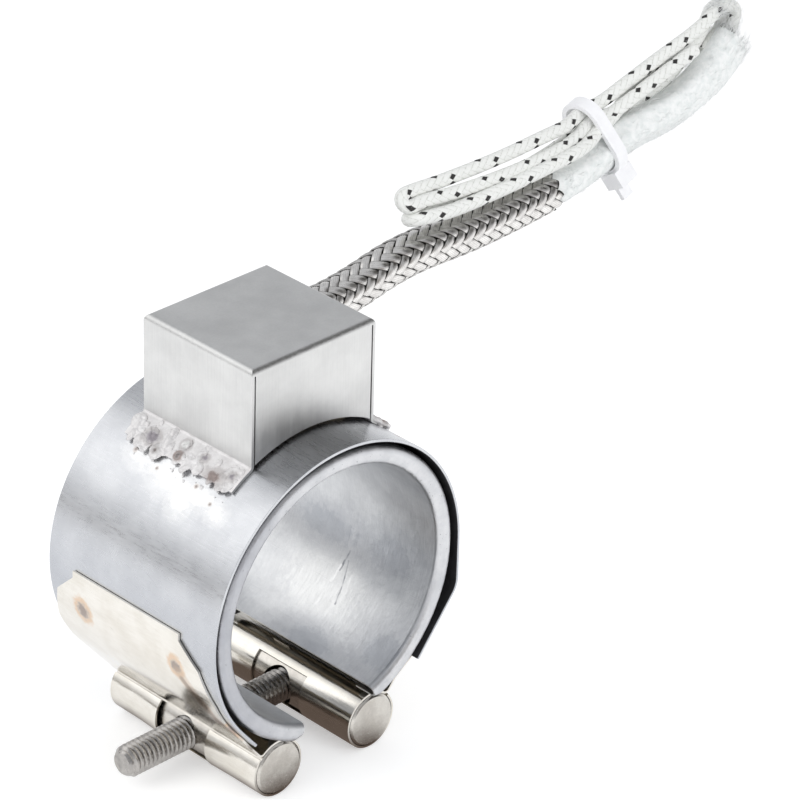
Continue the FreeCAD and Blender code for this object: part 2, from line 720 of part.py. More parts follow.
def rounded(body, name, feature, radius_formula, test):
    """Fillet on the edges of a feature that pass a test."""
    fillet = body.newObject("PartDesign::Fillet", name)
    fillet.Base = (feature, edges_at(feature.Shape, test))
    fillet.setExpression("Radius", radius_formula)
    doc.recompute()
    return fillet


def foot_outline(wall, side):
    """Foot of the box: a bend out of the wall, then a strip that lies on the ring.
    wall is the wall's outer face and side is -1 on the left and 1 on the right."""
    fold, gauge = size("foot_fold"), size("box_gauge")
    centre_x = abs(wall) + fold
    reach = size("foot_out") + fold
    turn = math.degrees(math.asin(centre_x / reach))
    far = polar(size("foot_out"), 90.0 + turn + size("foot_reach"))
    # Walked on the left: along the foot's outer face to the bend, then up the wall
    line = walk(far, turn + size("foot_reach"), (
        ("bend", size("foot_out"), -size("foot_reach")),
        ("bend", fold, 90.0 - turn),
        ("line", size("box_seat")),
    ))
    outline = strip(line, gauge)
    return outline if side < 0 else mirrored(outline)


def terminal_box():
    """Sheet box: four walls folded down from the top, the side walls ending in feet."""
    body = body_named("terminal_box", "Sizes.box_offset_y")
    left, right, gauge = size("box_left"), size("box_right"), size("box_gauge")
    half, top, bend = size("box_width") / 2, size("box_top"), size("box_bend")
    tall = "Sizes.box_top"
    block = body.newObject("PartDesign::Pad", "box_block")
    block.Profile = sketch_on(body, "box_outside", "XY_Plane", [box_outline(left, right, -half, half)])
    block.setExpression("Length", tall)
    doc.recompute()
    block = rounded(body, "box_bends", block, "Sizes.box_bend", lambda p: p.z > top - 0.01)
    room = body.newObject("PartDesign::Pocket", "box_room")
    inside = box_outline(left + gauge, right - gauge, -half + gauge, half - gauge)
    room.Profile = sketch_on(body, "box_inside", "XY_Plane", [inside])
    room.Reversed = True
    room.setExpression("Length", tall + " - Sizes.box_gauge")
    doc.recompute()
    ceiling = top - gauge
    level = lambda p: abs(p.z - ceiling) < 0.01
    rounded(body, "box_inner_bends", room, "Sizes.box_bend - Sizes.box_gauge", level)

    # Everything below the feet's bends, and below the front and back walls' curved lower edges
    skirt = size("band_out") + size("box_skirt_gap")
    reach = size("foot_out") + size("foot_fold")
    low = []
    for wall in (left, right):
        low.append(math.sqrt(reach ** 2 - (abs(wall) + size("foot_fold")) ** 2))
    inner_left, inner_right = left + gauge, right - gauge
    up_left = math.degrees(math.acos(inner_left / skirt))
    up_right = math.degrees(math.acos(inner_right / skirt))
    arc = ("arc", (0.0, 0.0), skirt, up_right, up_left - up_right, "Derived.band_out + Sizes.box_skirt_gap")
    first, last = ends(arc)
    far_left, far_right = left - CUT_OVER, right + CUT_OVER
    corners = [last, (inner_left, low[0]), (far_left, low[0]), (far_left, -CUT_OVER),
               (far_right, -CUT_OVER), (far_right, low[1]), (inner_right, low[1]), first]
    below = [arc] + [("line", a, b) for a, b in zip(corners, corners[1:])]
    cut_through(body, sketch_on(body, "box_below", "XZ_Plane", [below]))

    # Open seams at the corners
    slots = []
    for wall, side in ((left + gauge, 1), (right - gauge, -1)):
        low_u, high_u = sorted((wall, wall + side * size("box_seam")))
        slots.append(box_outline(low_u, high_u, 0.0, top - bend))
    cut_through(body, sketch_on(body, "box_seams", "XZ_Plane", slots))

    feet = [foot_outline(left, -1), foot_outline(right, 1)]
    pad(body, sketch_on(body, "box_feet", "XZ_Plane", feet), "Sizes.box_width")
    outlet = ("circle", (size("outlet_y") - size("box_offset_y"), size("outlet_z")),
              size("eyelet_out") + size("eyelet_gap"))
    hole = body.newObject("PartDesign::Pocket", "box_outlet")
    hole.Profile = sketch_on(body, "outlet_circle", "YZ_Plane", [[outlet]])
    hole.Reversed = True
    hole.setExpression("Length", "Derived.box_right + Sizes.box_gauge")
    doc.recompute()
    return body


def strip_place(side):
    """Middle of a nickel strip's upright end, across the ring."""
    x = polar(size("bus_in"), 90.0 - side * size("bus_turn"))[0]
    return x + side * size("bus_gauge") / 2


def insulating_pad():
    """Curved mica plate that covers the hatch, slotted for the nickel strips."""
    low, high = 90.0 - size("pad_reach"), 90.0 + size("pad_reach")
    body = ring("insulating_pad", "Derived.pad_in", "Derived.pad_out", "Sizes.pad_width",
                low, high, "Sizes.box_offset_y")
    half_u = size("bus_gauge") / 2 + size("bus_slot")
    half_v = size("bus_width") / 2 + size("bus_slot")
    slots = []
    for side in (-1, 1):
        x, y = strip_place(side), side * size("bus_pitch") - size("box_offset_y")
        slots.append(box_outline(x - half_u, x + half_u, y - half_v, y + half_v))
    cut_through(body, sketch_on(body, "pad_slots", "XY_Plane", slots))
    return body


def crimp(label, side):
    """Crimp on a nickel strip's end: a block with a slot for the strip and a bore for the lead."""
    x, y = strip_place(side), side * size("bus_pitch")
    low, gap = size("crimp_low"), size("crimp_gap")
    corner = Vector(x - size("crimp_back"), y - size("crimp_width") / 2, low)
    block = Part.makeBox(size("crimp_length"), size("crimp_width"), size("crimp_height"), corner)
    slot_u, slot_v = size("bus_gauge") + 2 * gap, size("bus_width") + 2 * gap
    slot_corner = Vector(x - slot_u / 2, y - slot_v / 2, low - CUT_OVER)
    slot = Part.makeBox(slot_u, slot_v, size("crimp_grip") + gap + CUT_OVER, slot_corner)
    mouth = Vector(corner.x + size("crimp_length") - size("crimp_bore"), y, size("outlet_z"))
    bore = Part.makeCylinder(size("lead_radius") + gap, size("crimp_bore") + CUT_OVER, mouth, Vector(1, 0, 0))
    piece = finish(doc.addObject("Part::Feature", label), label)
    piece.Shape = block.cut(slot).cut(bore)
    return piece


# ---------------------------------------------------------------------------
# Leads: round tubes along runs joined by tangent arcs
# ---------------------------------------------------------------------------


def tube(label, points, radius):
    """Solid of a cord along its route: straight runs, and an arc at each point between them."""
    route = [Vector(*point) for point in points]
    edges, start, radii = [], route[0], []
    for before, point, after in zip(route, route[1:], route[2:]):
        run_in, run_out = point - before, after - point
        ahead, onward = Vector(run_in).normalize(), Vector(run_out).normalize()
        turn = ahead.getAngle(onward)
        reach = ARC_SHARE * min(run_in.Length, run_out.Length)
        radii.append(reach / math.tan(turn / 2))
        enter, leave = point - ahead * reach, point + onward * reach
        inward = (onward - ahead).normalize()
        middle = point + inward * radii[-1] * (1 / math.cos(turn / 2) - 1)
        edges.append(Part.LineSegment(start, enter).toShape())
        edges.append(Part.Arc(enter, middle, leave).toShape())
        start = leave
    edges.append(Part.LineSegment(start, route[-1]).toShape())
    path = Part.Wire(edges)
    section = Part.Wire(Part.Circle(route[0], route[1] - route[0], radius).toShape())
    solid = path.makePipeShell([section], True, False)
    expected = math.pi * radius ** 2 * path.Length
    if abs(solid.Volume / expected - 1) > 0.01:
        raise RuntimeError("%s: volume %.1f, expected %.1f" % (label, solid.Volume, expected))
    print("%s: length %.1f, radii %s" % (label, path.Length, ["%.1f" % r for r in radii]))
    piece = finish(doc.addObject("Part::Feature", label), label)
    piece.Shape = solid
    return piece


def inner_lead(label, side):
    """Lead from its crimp to the outlet, beside the other one there."""
    far_y = size("outlet_y") + side * (size("lead_radius") + size("lead_gap") / 2)
    y, z = side * size("bus_pitch"), size("outlet_z")
    face, end = strip_place(side) - size("crimp_back") + size("crimp_length"), size("braid_x")
    straight = size("lead_share") * (end - face)
    points = [
        (face - size("crimp_bore") + size("crimp_gap"), y, z),
        (face + straight, y, z),
        (end - straight, far_y, z),
        (end, far_y, z),
    ]
    return tube(label, points, size("lead_radius"))


def outlet_eyelet():
    """Eyelet rolled over both faces of the box's wall."""
    body = body_named("outlet_eyelet", "Sizes.outlet_y")
    body.setExpression(".Placement.Base.z", "Derived.outlet_z")
    out, inner = size("box_right"), size("box_right") - size("box_gauge")
    bore, pipe, brim = size("eyelet_bore"), size("eyelet_out"), size("eyelet_flange")
    gauge = size("flange_gauge")
    half = polygon([
        (inner - gauge, bore),
        (out + gauge, bore),
        (out + gauge, brim),
        (out, brim),
        (out, pipe),
        (inner, pipe),
        (inner, brim),
        (inner - gauge, brim),
    ])
    turn = body.newObject("PartDesign::Revolution", "eyelet_turning")
    turn.Profile = sketch_on(body, "eyelet_half", "XZ_Plane", [half])
    turn.ReferenceAxis = (plane(body, "X_Axis"), [""])
    turn.Angle = 360.0
    doc.recompute()
    return body


terminal_box()
insulating_pad()
crimp("crimp_front", -1)
crimp("crimp_back", 1)
inner_lead("inner_lead_front", -1)
inner_lead("inner_lead_back", 1)
outlet_eyelet()

BRAID = (
    (size("braid_x"), size("outlet_y"), size("outlet_z")),
    (24.0, size("outlet_y"), size("outlet_z")),
    (37.5, 3.9, 42.7),
    (56.6, 3.0, 42.2),
    (73.2, 3.2, 43.6),
)
SLEEVE = (
    (73.2, 3.2, 43.6),
    (81.5, 3.3, 44.3),
    (94.0, 4.2, 48.0),
    (107.0, 5.6, 50.0),
    (114.5, 6.8, 52.5),
    (120.7, 7.9, 54.4),
)
tube("armour_braid", BRAID, size("braid_radius"))
tube("glass_sleeve", SLEEVE, size("sleeve_radius"))

# The folded leads as one bundle: place, width and thickness of its sections
UP = Vector(0.0, 0.633, 0.774)
TIE_PLACE = (86.5, 6.9, 51.65)
BUNDLE = (
    ((36.2, 3.4, 52.9), 5.6, 3.0),
    ((38.5, 3.3, 52.5), 8.2, 3.4),
    ((55.4, 3.0, 50.8), 8.2, 3.4),
    ((68.8, 3.7, 51.4), 7.2, 3.8),
    ((80.5, 5.7, 51.4), 5.6, 4.6),
    (TIE_PLACE, 5.2, 4.8),
    ((91.2, 7.4, 53.4), 5.2, 4.6),
    ((106.4, 8.8, 57.4), 5.2, 3.6),
    ((118.0, 9.6, 60.2), 4.8, 3.2),
    ((122.2, 9.8, 61.0), 4.8, 3.2),
    ((124.0, 9.4, 59.0), 9.2, 5.4),
    ((129.6, 10.4, 60.4), 8.2, 5.4),
)


def oval(centre, tangent, width, thickness):
    """Wire with two straight and two round sides, across a tangent."""
    side = (UP - tangent * UP.dot(tangent)).normalize()
    depth = tangent.cross(side)
    straight = (width - thickness) / 2
    ring_r = thickness / 2
    corner = [side * straight * u + depth * ring_r * v for u, v in ((1, 1), (1, -1), (-1, -1), (-1, 1))]
    near, far = side * (straight + ring_r), side * -(straight + ring_r)
    return Part.Wire([
        Part.Arc(centre + corner[0], centre + near, centre + corner[1]).toShape(),
        Part.makeLine(centre + corner[1], centre + corner[2]),
        Part.Arc(centre + corner[2], centre + far, centre + corner[3]).toShape(),
        Part.makeLine(centre + corner[3], centre + corner[0]),
    ])


def lead_hank():
    """Closed solid of the folded leads' outer shape."""
    places = [Vector(*section[0]) for section in BUNDLE]
    wires = []
    for index, (place, width, thickness) in enumerate(BUNDLE):
        before, after = places[max(index - 1, 0)], places[min(index + 1, len(places) - 1)]
        tangent = (after - before).normalize()
        wires.append(oval(places[index], tangent, width, thickness))
    piece = finish(doc.addObject("Part::Feature", "lead_hank"), "lead_hank")
    piece.Shape = Part.makeLoft(wires, True, True)
    return piece


def cable_tie():
    """Strap round the sleeve and the folded leads, with its head below and a cut tail."""
    run_start, run_end, high = Vector(*SLEEVE[1]), Vector(*SLEEVE[2]), Vector(*TIE_PLACE)
    tangent = (run_end - run_start).normalize()
    low = run_start + tangent * (high - run_start).dot(tangent)
    rise = high - low
    side = Vector(rise).normalize()
    depth = tangent.cross(side)
    inner = size("sleeve_radius") + size("tie_gap")
    outer = inner + size("tie_gauge")
    half = size("tie_width") / 2

    def slot(radius):
        high_end = low + rise
        wire = Part.Wire([
            Part.Arc(
                high_end + depth * radius, high_end + side * radius, high_end - depth * radius,
            ).toShape(),
            Part.makeLine(high_end - depth * radius, low - depth * radius),
            Part.Arc(low - depth * radius, low - side * radius, low + depth * radius).toShape(),
            Part.makeLine(low + depth * radius, high_end + depth * radius),
        ])
        wire.translate(tangent * -half)
        return Part.Face(wire).extrude(tangent * (2 * half))

    head_side = size("tie_head")
    head = Part.makeBox(head_side, head_side, size("tie_head_height"))
    head.translate(Vector(-head_side / 2, -head_side / 2, -size("tie_head_height")))
    tail = Part.makeBox(size("tie_width"), size("tie_gauge"), size("tie_tail"))
    tail.translate(Vector(-half, size("tail_offset"), -size("tie_tail") - size("tail_hold")))
    frame = Placement(low - side * (inner + size("tie_sink")), Rotation(tangent, depth, side, "XZY"))
    head.Placement = frame.multiply(head.Placement)
    tail.Placement = frame.multiply(tail.Placement)
    solid = slot(outer).multiFuse([head, tail]).cut(slot(inner)).removeSplitter()
    piece = finish(doc.addObject("Part::Feature", "cable_tie"), "cable_tie")
    piece.Shape = solid
    return piece


lead_hank()
cable_tie()


# ---------------------------------------------------------------------------
# Checks and export
# ---------------------------------------------------------------------------

doc.recompute()
NODES = (
    "outer_sheet", "core_sheath", "mica_inner", "winding_former", "resistance_ribbon", "mica_outer",
    "left_strap", "right_strap", "threaded_barrel", "plain_barrel", "clamp_screw", "terminal_box",
    "insulating_pad", "bus_strip_front", "bus_strip_back", "crimp_front", "crimp_back",
    "inner_lead_front", "inner_lead_back", "outlet_eyelet", "armour_braid", "glass_sleeve",
    "lead_hank", "cable_tie",
)

for item in doc.Objects:
    if "Invalid" in item.State or "Error" in item.State:
        raise RuntimeError("%s did not build: %s" % (item.Label, item.State))

os.makedirs("parts", exist_ok=True)
by_label = {item.Label: item for item in doc.Objects}
shapes = {}
for node in NODES:
    shape = by_label[node].Shape
    if shape.isNull() or not shape.isValid() or not shape.Solids:
        raise RuntimeError(node + " has no valid solid")
    shapes[node] = shape
for node, shape in shapes.items():
    shape.exportStep(os.path.join("parts", node + ".step"))
    print("%s: %d solid, %.1f mm3" % (node, len(shape.Solids), shape.Volume))
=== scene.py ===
"""Mica nozzle band heater: how its pieces look. Lengths are in metres, in the frame of the part."""

import bpy
import math
import random
from mathutils import Matrix, Vector, noise


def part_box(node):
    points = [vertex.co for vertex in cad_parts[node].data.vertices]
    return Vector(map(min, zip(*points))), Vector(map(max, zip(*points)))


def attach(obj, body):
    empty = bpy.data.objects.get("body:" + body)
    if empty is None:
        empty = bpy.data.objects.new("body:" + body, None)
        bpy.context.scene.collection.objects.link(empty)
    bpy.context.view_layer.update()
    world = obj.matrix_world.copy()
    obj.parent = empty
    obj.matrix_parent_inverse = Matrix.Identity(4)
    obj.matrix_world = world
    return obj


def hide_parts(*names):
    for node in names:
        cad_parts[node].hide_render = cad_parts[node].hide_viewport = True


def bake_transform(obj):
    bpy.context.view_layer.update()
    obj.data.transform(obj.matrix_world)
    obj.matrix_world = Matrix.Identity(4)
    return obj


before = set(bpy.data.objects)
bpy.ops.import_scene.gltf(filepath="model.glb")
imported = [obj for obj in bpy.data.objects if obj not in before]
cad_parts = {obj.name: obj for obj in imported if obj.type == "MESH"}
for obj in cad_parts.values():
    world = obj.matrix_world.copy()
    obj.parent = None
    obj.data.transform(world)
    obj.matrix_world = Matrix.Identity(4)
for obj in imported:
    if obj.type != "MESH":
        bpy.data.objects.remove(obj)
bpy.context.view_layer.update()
scene = bpy.context.scene


# --- Folded core -------------------------------------------------------------
# Mica strips wound with flat resistance ribbon, wrapped in thin stainless sheet whose
# long edges are rolled round and pressed flat over the core's outside.

def take(piece):
    """The piece alone selected and active."""
    bpy.ops.object.select_all(action="DESELECT")
    piece.select_set(True)
    bpy.context.view_layer.objects.active = piece


def placed(name, data):
    """A new object in the scene."""
    made = bpy.data.objects.new(name, data)
    scene.collection.objects.link(made)
    return made


def changed(piece, kind, **settings):
    """The piece with one modifier applied to it."""
    take(piece)
    modifier = piece.modifiers.new("change", kind)
    for key, value in settings.items():
        setattr(modifier, key, value)
    bpy.ops.object.modifier_apply(modifier="change")
    return piece


def bevelled(piece, width, angle, segments=2):
    """The piece with its edges sharper than an angle broken."""
    return changed(piece, "BEVEL", width=width, segments=segments, limit_method="ANGLE",
                   angle_limit=math.radians(angle))


def edited(piece, *steps):
    """The piece after edit mode operators, each with its settings and on the whole mesh."""
    take(piece)
    bpy.ops.object.mode_set(mode="EDIT")
    for operator, settings in steps:
        bpy.ops.mesh.select_all(action="SELECT")
        operator(**settings)
    bpy.ops.object.mode_set(mode="OBJECT")
    return piece


def smoothed(piece, angle):
    """The piece shaded smooth, except over edges sharper than an angle."""
    take(piece)
    bpy.ops.object.shade_smooth_by_angle(angle=math.radians(angle))
    return piece


def dressed(piece, material):
    piece.data.materials.append(material)
    return piece


def patched(piece, material, chosen):
    """The piece with a second material on the faces that are chosen."""
    piece.data.materials.append(material)
    for face in piece.data.polygons:
        if chosen(face):
            face.material_index = 1
    return piece


def merged_copy(cad_name, name, sharp=32.0, soften=0.0):
    """A cad node's form as one welded mesh, with its sharp edges broken by soften."""
    piece = placed(name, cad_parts[cad_name].data.copy())
    piece.data.materials.clear()
    edited(piece, (bpy.ops.mesh.remove_doubles, {"threshold": 2e-6}),
           (bpy.ops.mesh.customdata_custom_splitnormals_clear, {}),
           (bpy.ops.mesh.dissolve_limited, {"angle_limit": math.radians(0.4)}))
    if soften:
        bevelled(piece, soften, sharp)
    smoothed(piece, sharp)
    changed(piece, "WEIGHTED_NORMAL", keep_sharp=True, weight=100)
    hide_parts(cad_name)
    return piece


MAP_RADIUS = 0.0284


def ring_map(piece):
    """UV map in metres: round the ring from its lowest line, and along the bore."""
    layer = piece.data.uv_layers.get("ring") or piece.data.uv_layers.new(name="ring")
    for loop in piece.data.loops:
        x, y, z = piece.data.vertices[loop.vertex_index].co
        layer.data[loop.index].uv = (math.atan2(x, -z) * MAP_RADIUS, y)
    return piece


def bend_with_jaw(piece):
    """The piece with its place baked into its mesh."""
    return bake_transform(piece)


def feed(tree, target, value):
    """A value or another node's output into an input. None leaves the input as it is."""
    if isinstance(value, bpy.types.NodeSocket):
        tree.links.new(value, target)
    elif value is not None:
        target.default_value = (*value[:3], 1) if target.type == "RGBA" else value


def node(tree, kind, *places, **named):
    """A node. Names in lower case are its settings, the rest its inputs, by place or by name."""
    made = tree.nodes.new(kind if kind.startswith("NodeGroup") else "ShaderNode" + kind)
    for key, value in named.items():
        if key.islower():
            setattr(made, key, value)
    for place, value in enumerate(places):
        feed(tree, made.inputs[place], value)
    for key, value in named.items():
        if not key.islower():
            feed(tree, made.inputs[key.replace("_", " ")], value)
    return made


def maths(tree, operation, *values, use_clamp=False):
    return node(tree, "Math", *values, operation=operation, use_clamp=use_clamp).outputs[0]


def times(tree, first, second):
    return maths(tree, "MULTIPLY", first, second)


def size_of(tree, value):
    return maths(tree, "ABSOLUTE", value)


def vectors(tree, operation, *values):
    return node(tree, "VectorMath", *values, operation=operation).outputs


def ramp(tree, value, low, high, to_low=0.0, to_high=1.0):
    return node(tree, "MapRange", interpolation_type="SMOOTHSTEP", Value=value, From_Min=low, From_Max=high,
                To_Min=to_low, To_Max=to_high).outputs["Result"]


def mix(tree, share, first, second):
    made = node(tree, "Mix", data_type="RGBA")
    for place, value in ((0, share), (6, first), (7, second)):
        feed(tree, made.inputs[place], value)
    return made.outputs[2]


def object_place(tree):
    return node(tree, "TexCoord").outputs["Object"]


def map_place(tree, name):
    return node(tree, "UVMap", uv_map=name).outputs["UV"]


def axes(tree, vector):
    return node(tree, "SeparateXYZ", vector).outputs


def cloudy(tree, where, scale, detail, roughness=0.5):
    return node(tree, "TexNoise", Vector=where, Scale=scale, Detail=detail, Roughness=roughness).outputs["Fac"]


def bumped(tree, height, strength, distance, under=None):
    made = node(tree, "Bump", Strength=strength, Distance=distance, Height=height, Normal=under)
    return made.outputs["Normal"]


def new_group(name, inputs, outputs):
    """A shared effect to be filled: its tree, what comes into it and where its results go."""
    tree = bpy.data.node_groups.new(name, "ShaderNodeTree")
    for title, value in inputs.items():
        kind = "NodeSocketFloat" if isinstance(value, float) else "NodeSocketVector"
        tree.interface.new_socket(title, in_out="INPUT", socket_type=kind).default_value = value
    for title in outputs:
        tree.interface.new_socket(title, in_out="OUTPUT", socket_type="NodeSocketFloat")
    return tree, node(tree, "NodeGroupInput").outputs, node(tree, "NodeGroupOutput").inputs


def new_material(name):
    """A material with its tree and its shader's inputs."""
    material = bpy.data.materials.new(name)
    material.use_nodes = True
    return material, material.node_tree, material.node_tree.nodes["Principled BSDF"].inputs


MM = 0.001
ORIGIN, ROUND = (0.0, 0.0, 0.0), (1.0, 1.0, 1.0)
ROLLED_GRAIN, ROLLED_SCRATCH = (300.0, 4000.0, 4000.0), (120.0, 2500.0, 2500.0)


def sheet_surface():
    """Rolled sheet metal: soft blotches, fine grain along one way, and a few scratches."""
    tree, enter, leave = new_group("sheet surface", {
        "Place": ORIGIN, "Blotch Size": 90.0, "Grain": ROLLED_GRAIN, "Scratch": ROLLED_SCRATCH,
    }, ("Blotch", "Grain", "Scratch"))
    blotch = cloudy(tree, enter["Place"], enter["Blotch Size"], 5.0, 0.62)
    feed(tree, leave["Blotch"], ramp(tree, blotch, 0.3, 0.7))
    for name, low, high, detail in (("Grain", 0.25, 0.75, 3.0), ("Scratch", 0.66, 0.74, 1.0)):
        stretched = vectors(tree, "MULTIPLY", enter["Place"], enter[name])[0]
        feed(tree, leave[name], ramp(tree, cloudy(tree, stretched, 1.0, detail, 0.6), low, high))
    return tree


SHEET_SURFACE = sheet_surface()


def sheet_metal(name, dark, light, roughness, place="Object", blotch=90.0, grain=ROLLED_GRAIN,
                scratch=ROLLED_SCRATCH, bump=0.1, metallic=1.0):
    """Material of a sheet part, with its tree, its shader's inputs, its place and its colour."""
    material, tree, shader = new_material(name)
    where = object_place(tree) if place == "Object" else map_place(tree, place)
    grain, scratch = (way if isinstance(way, tuple) else (way,) * 3 for way in (grain, scratch))
    surface = node(tree, "Group", node_tree=SHEET_SURFACE, Place=where, Blotch_Size=blotch, Grain=grain,
                   Scratch=scratch).outputs
    tone = maths(tree, "MULTIPLY_ADD", surface["Grain"], 0.35, times(tree, surface["Blotch"], 0.65))
    colour = mix(tree, tone, dark, light)
    relief = maths(tree, "SUBTRACT", surface["Grain"], surface["Scratch"])
    low, high = roughness
    feed(tree, shader["Base Color"], colour)
    feed(tree, shader["Metallic"], metallic)
    feed(tree, shader["Roughness"], maths(tree, "MULTIPLY_ADD", surface["Grain"], high - low, low))
    feed(tree, shader["Normal"], bumped(tree, relief, bump, 0.00005))
    return material, tree, shader, where, colour


def scorch_mark():
    """A ragged spot round a centre, as a weld's heat leaves it: its heart, and a rim round it."""
    tree, enter, leave = new_group("scorch mark", {
        "Place": ORIGIN, "Centre": ORIGIN, "Stretch": ROUND, "Radius": 0.0015, "Ragged": 0.5,
    }, ("Heart", "Rim"))
    away = vectors(tree, "SUBTRACT", enter["Place"], enter["Centre"])[0]
    length = vectors(tree, "LENGTH", vectors(tree, "MULTIPLY", away, enter["Stretch"])[0])["Value"]
    uneven = maths(tree, "SUBTRACT", cloudy(tree, enter["Place"], 900.0, 4.0, 0.7), 0.5)
    uneven = times(tree, times(tree, uneven, enter["Ragged"]), 2.0)
    edge = maths(tree, "ADD", maths(tree, "DIVIDE", length, enter["Radius"]), uneven)
    heart = ramp(tree, edge, 0.35, 0.8, 1.0, 0.0)
    feed(tree, leave["Heart"], heart)
    rim = maths(tree, "SUBTRACT", ramp(tree, edge, 0.8, 1.3, 1.0, 0.0), heart, use_clamp=True)
    feed(tree, leave["Rim"], rim)
    return tree


SCORCH = scorch_mark()


def scorched(tree, where, colour, marks):
    """A colour with heat marks over it.

    Each is its centre and radius in millimetres, its stretch, and its heart's and its rim's
    colour with its share.
    """
    for centre, radius, stretch, heart, rim in marks:
        mark = node(tree, "Group", node_tree=SCORCH, Place=where, Centre=Vector(centre) * MM,
                    Radius=radius * MM, Stretch=stretch).outputs
        for name, tint in (("Rim", rim), ("Heart", heart)):
            share = times(tree, mark[name], tint[3])
            colour = mix(tree, share, colour, tint)
    return colour


def fine_scratch():
    """A thin, nearly straight scratch from one place along a direction."""
    tree, enter, leave = new_group("fine scratch", {
        "Place": ORIGIN, "From": ORIGIN, "Along": (1.0, 0.0, 0.0), "Length": 0.004, "Width": 0.0001,
    }, ("Line",))
    wander = node(tree, "TexNoise", Vector=enter["Place"], Scale=500.0, Detail=1.0).outputs["Color"]
    place = vectors(tree, "MULTIPLY_ADD", wander, (0.0004, 0.0004, 0.0004), enter["Place"])[0]
    away = vectors(tree, "SUBTRACT", place, enter["From"])[0]
    along = vectors(tree, "DOT_PRODUCT", away, enter["Along"])["Value"]
    run = maths(tree, "MAXIMUM", 0.0, maths(tree, "MINIMUM", along, enter["Length"]))
    foot = vectors(tree, "SCALE", enter["Along"], None, None, run)[0]
    far = maths(tree, "DIVIDE", vectors(tree, "DISTANCE", away, foot)["Value"], enter["Width"])
    feed(tree, leave["Line"], ramp(tree, far, 0.4, 1.0, 1.0, 0.0))
    return tree


FINE_SCRATCH = fine_scratch()


def scratched(tree, where, colour, lines):
    """A colour with fine scratches: from, to and width in millimetres, and colour with its share."""
    for first, last, width, tint in lines:
        run = (Vector(last) - Vector(first)) * MM
        line = node(tree, "Group", node_tree=FINE_SCRATCH, Place=where, From=Vector(first) * MM,
                    Along=run.normalized(), Length=run.length, Width=width * MM)
        share = times(tree, line.outputs["Line"], tint[3])
        colour = mix(tree, share, colour, tint)
    return colour


END_LEFT, END_RIGHT = -math.radians(17.5), math.radians(21.0)
PRESSED_TURN, PRESSED_DEPTH, PRESSED_FROM = 0.05, 0.0007, 0.0258


def settle_ends(piece):
    """The core's two ends, pressed a little thinner and rounder by the tool that closed them."""
    for vertex in piece.data.vertices:
        x, y, z = vertex.co
        turn, radius = math.atan2(x, -z), math.hypot(x, z)
        for end in (END_LEFT, END_RIGHT):
            near = max(0.0, 1.0 - abs(turn - end) / PRESSED_TURN)
            if near and radius > PRESSED_FROM:
                radius -= PRESSED_DEPTH * near * near
                radius_now = math.hypot(x, z)
                x, z = x * radius / radius_now, z * radius / radius_now
        vertex.co = (x, y, z)
    return piece


core_sheath = bend_with_jaw(settle_ends(ring_map(merged_copy("core_sheath", "core_wrap", sharp=50.0))))
steel_wrap, tree, shader, where, colour = sheet_metal(
    "stainless wrap", (0.50, 0.51, 0.53), (0.76, 0.77, 0.78), (0.30, 0.46), place="ring", blotch=75.0,
    grain=(260.0, 3200.0, 1.0), scratch=(2400.0, 90.0, 1.0), bump=0.16)
space = object_place(tree)
DULL_BLUE, PALE = (0.30, 0.32, 0.36, 0.55), (0.84, 0.84, 0.83, 0.6)
# A large pale patch across the middle of the bore, and dull blue patches round it.
colour = scorched(tree, space, colour, (
    ((18.4, 2.0, -15.4), 9.5, (0.8, 0.62, 1.0), PALE, (0.78, 0.78, 0.78, 0.3)),
    ((23.2, -10.0, -6.6), 6.2, (0.8, 0.7, 1.0), DULL_BLUE, (0.40, 0.42, 0.45, 0.35)),
    ((22.8, 6.0, -7.0), 6.0, (0.8, 0.5, 1.3), DULL_BLUE, (0.42, 0.43, 0.46, 0.35)),
    ((14.3, -17.7, -19.3), 5.5, (0.9, 0.7, 1.0), DULL_BLUE, (0.42, 0.43, 0.46, 0.35)),
    ((10.0, -3.0, -21.7), 4.5, (0.9, 0.5, 1.0), DULL_BLUE, (0.42, 0.43, 0.46, 0.35)),
))
colour = scratched(tree, where, colour, (
    ((33.6, -0.5, 0.0), (28.9, 0.3, 0.0), 0.36, (0.14, 0.15, 0.18, 0.8)),
    ((31.6, -0.8, 0.0), (22.2, -2.4, 0.0), 0.34, (0.16, 0.17, 0.20, 0.8)),
    ((30.0, 0.4, 0.0), (26.0, 1.0, 0.0), 0.42, (0.95, 0.95, 0.95, 0.8)),
    ((29.2, -2.6, 0.0), (24.0, -3.4, 0.0), 0.26, (0.92, 0.92, 0.92, 0.5)),
))
feed(tree, shader["Base Color"], colour)
grained = shader["Normal"].links[0].from_socket
feed(tree, shader["Normal"], bumped(tree, cloudy(tree, space, 420.0, 3.0), 0.45, 0.00016, grained))
dressed(core_sheath, steel_wrap)
SHADED_BAND_RADIUS = 0.0260
rolled_rim, tree, shader, where, colour = sheet_metal(
    "rolled rim", (0.56, 0.57, 0.59), (0.78, 0.78, 0.79), (0.36, 0.56), blotch=210.0,
    grain=900.0, scratch=300.0, bump=0.35)
flat_place = vectors(tree, "MULTIPLY", where, (1, 0, 1))[0]
# Painted shade: the outer band of the rim, beside the sheet's proud edge, is painted darker.
outer_band_painted_shade = ramp(tree, vectors(tree, "LENGTH", flat_place)["Value"], SHADED_BAND_RADIUS, SHADED_BAND_RADIUS + 0.0004)
colour = mix(tree, times(tree, outer_band_painted_shade, 0.30), colour, (0.52, 0.53, 0.56))
# Painted shade: the rim's colour is made darker towards its left side.
left_side_painted_shade = times(tree, ramp(tree, axes(tree, where)["X"], -0.022, -0.008, 1.0, 0.0), 0.55)
colour = mix(tree, left_side_painted_shade, colour, (0.36, 0.37, 0.41))
pitted = ramp(tree, cloudy(tree, where, 1300.0, 4.0, 0.7), 0.30, 0.38, 0.7, 0.0)
feed(tree, shader["Base Color"], mix(tree, pitted, colour, (0.20, 0.20, 0.22)))
patched(core_sheath, rolled_rim, lambda face: abs(face.normal.y) > 0.45)

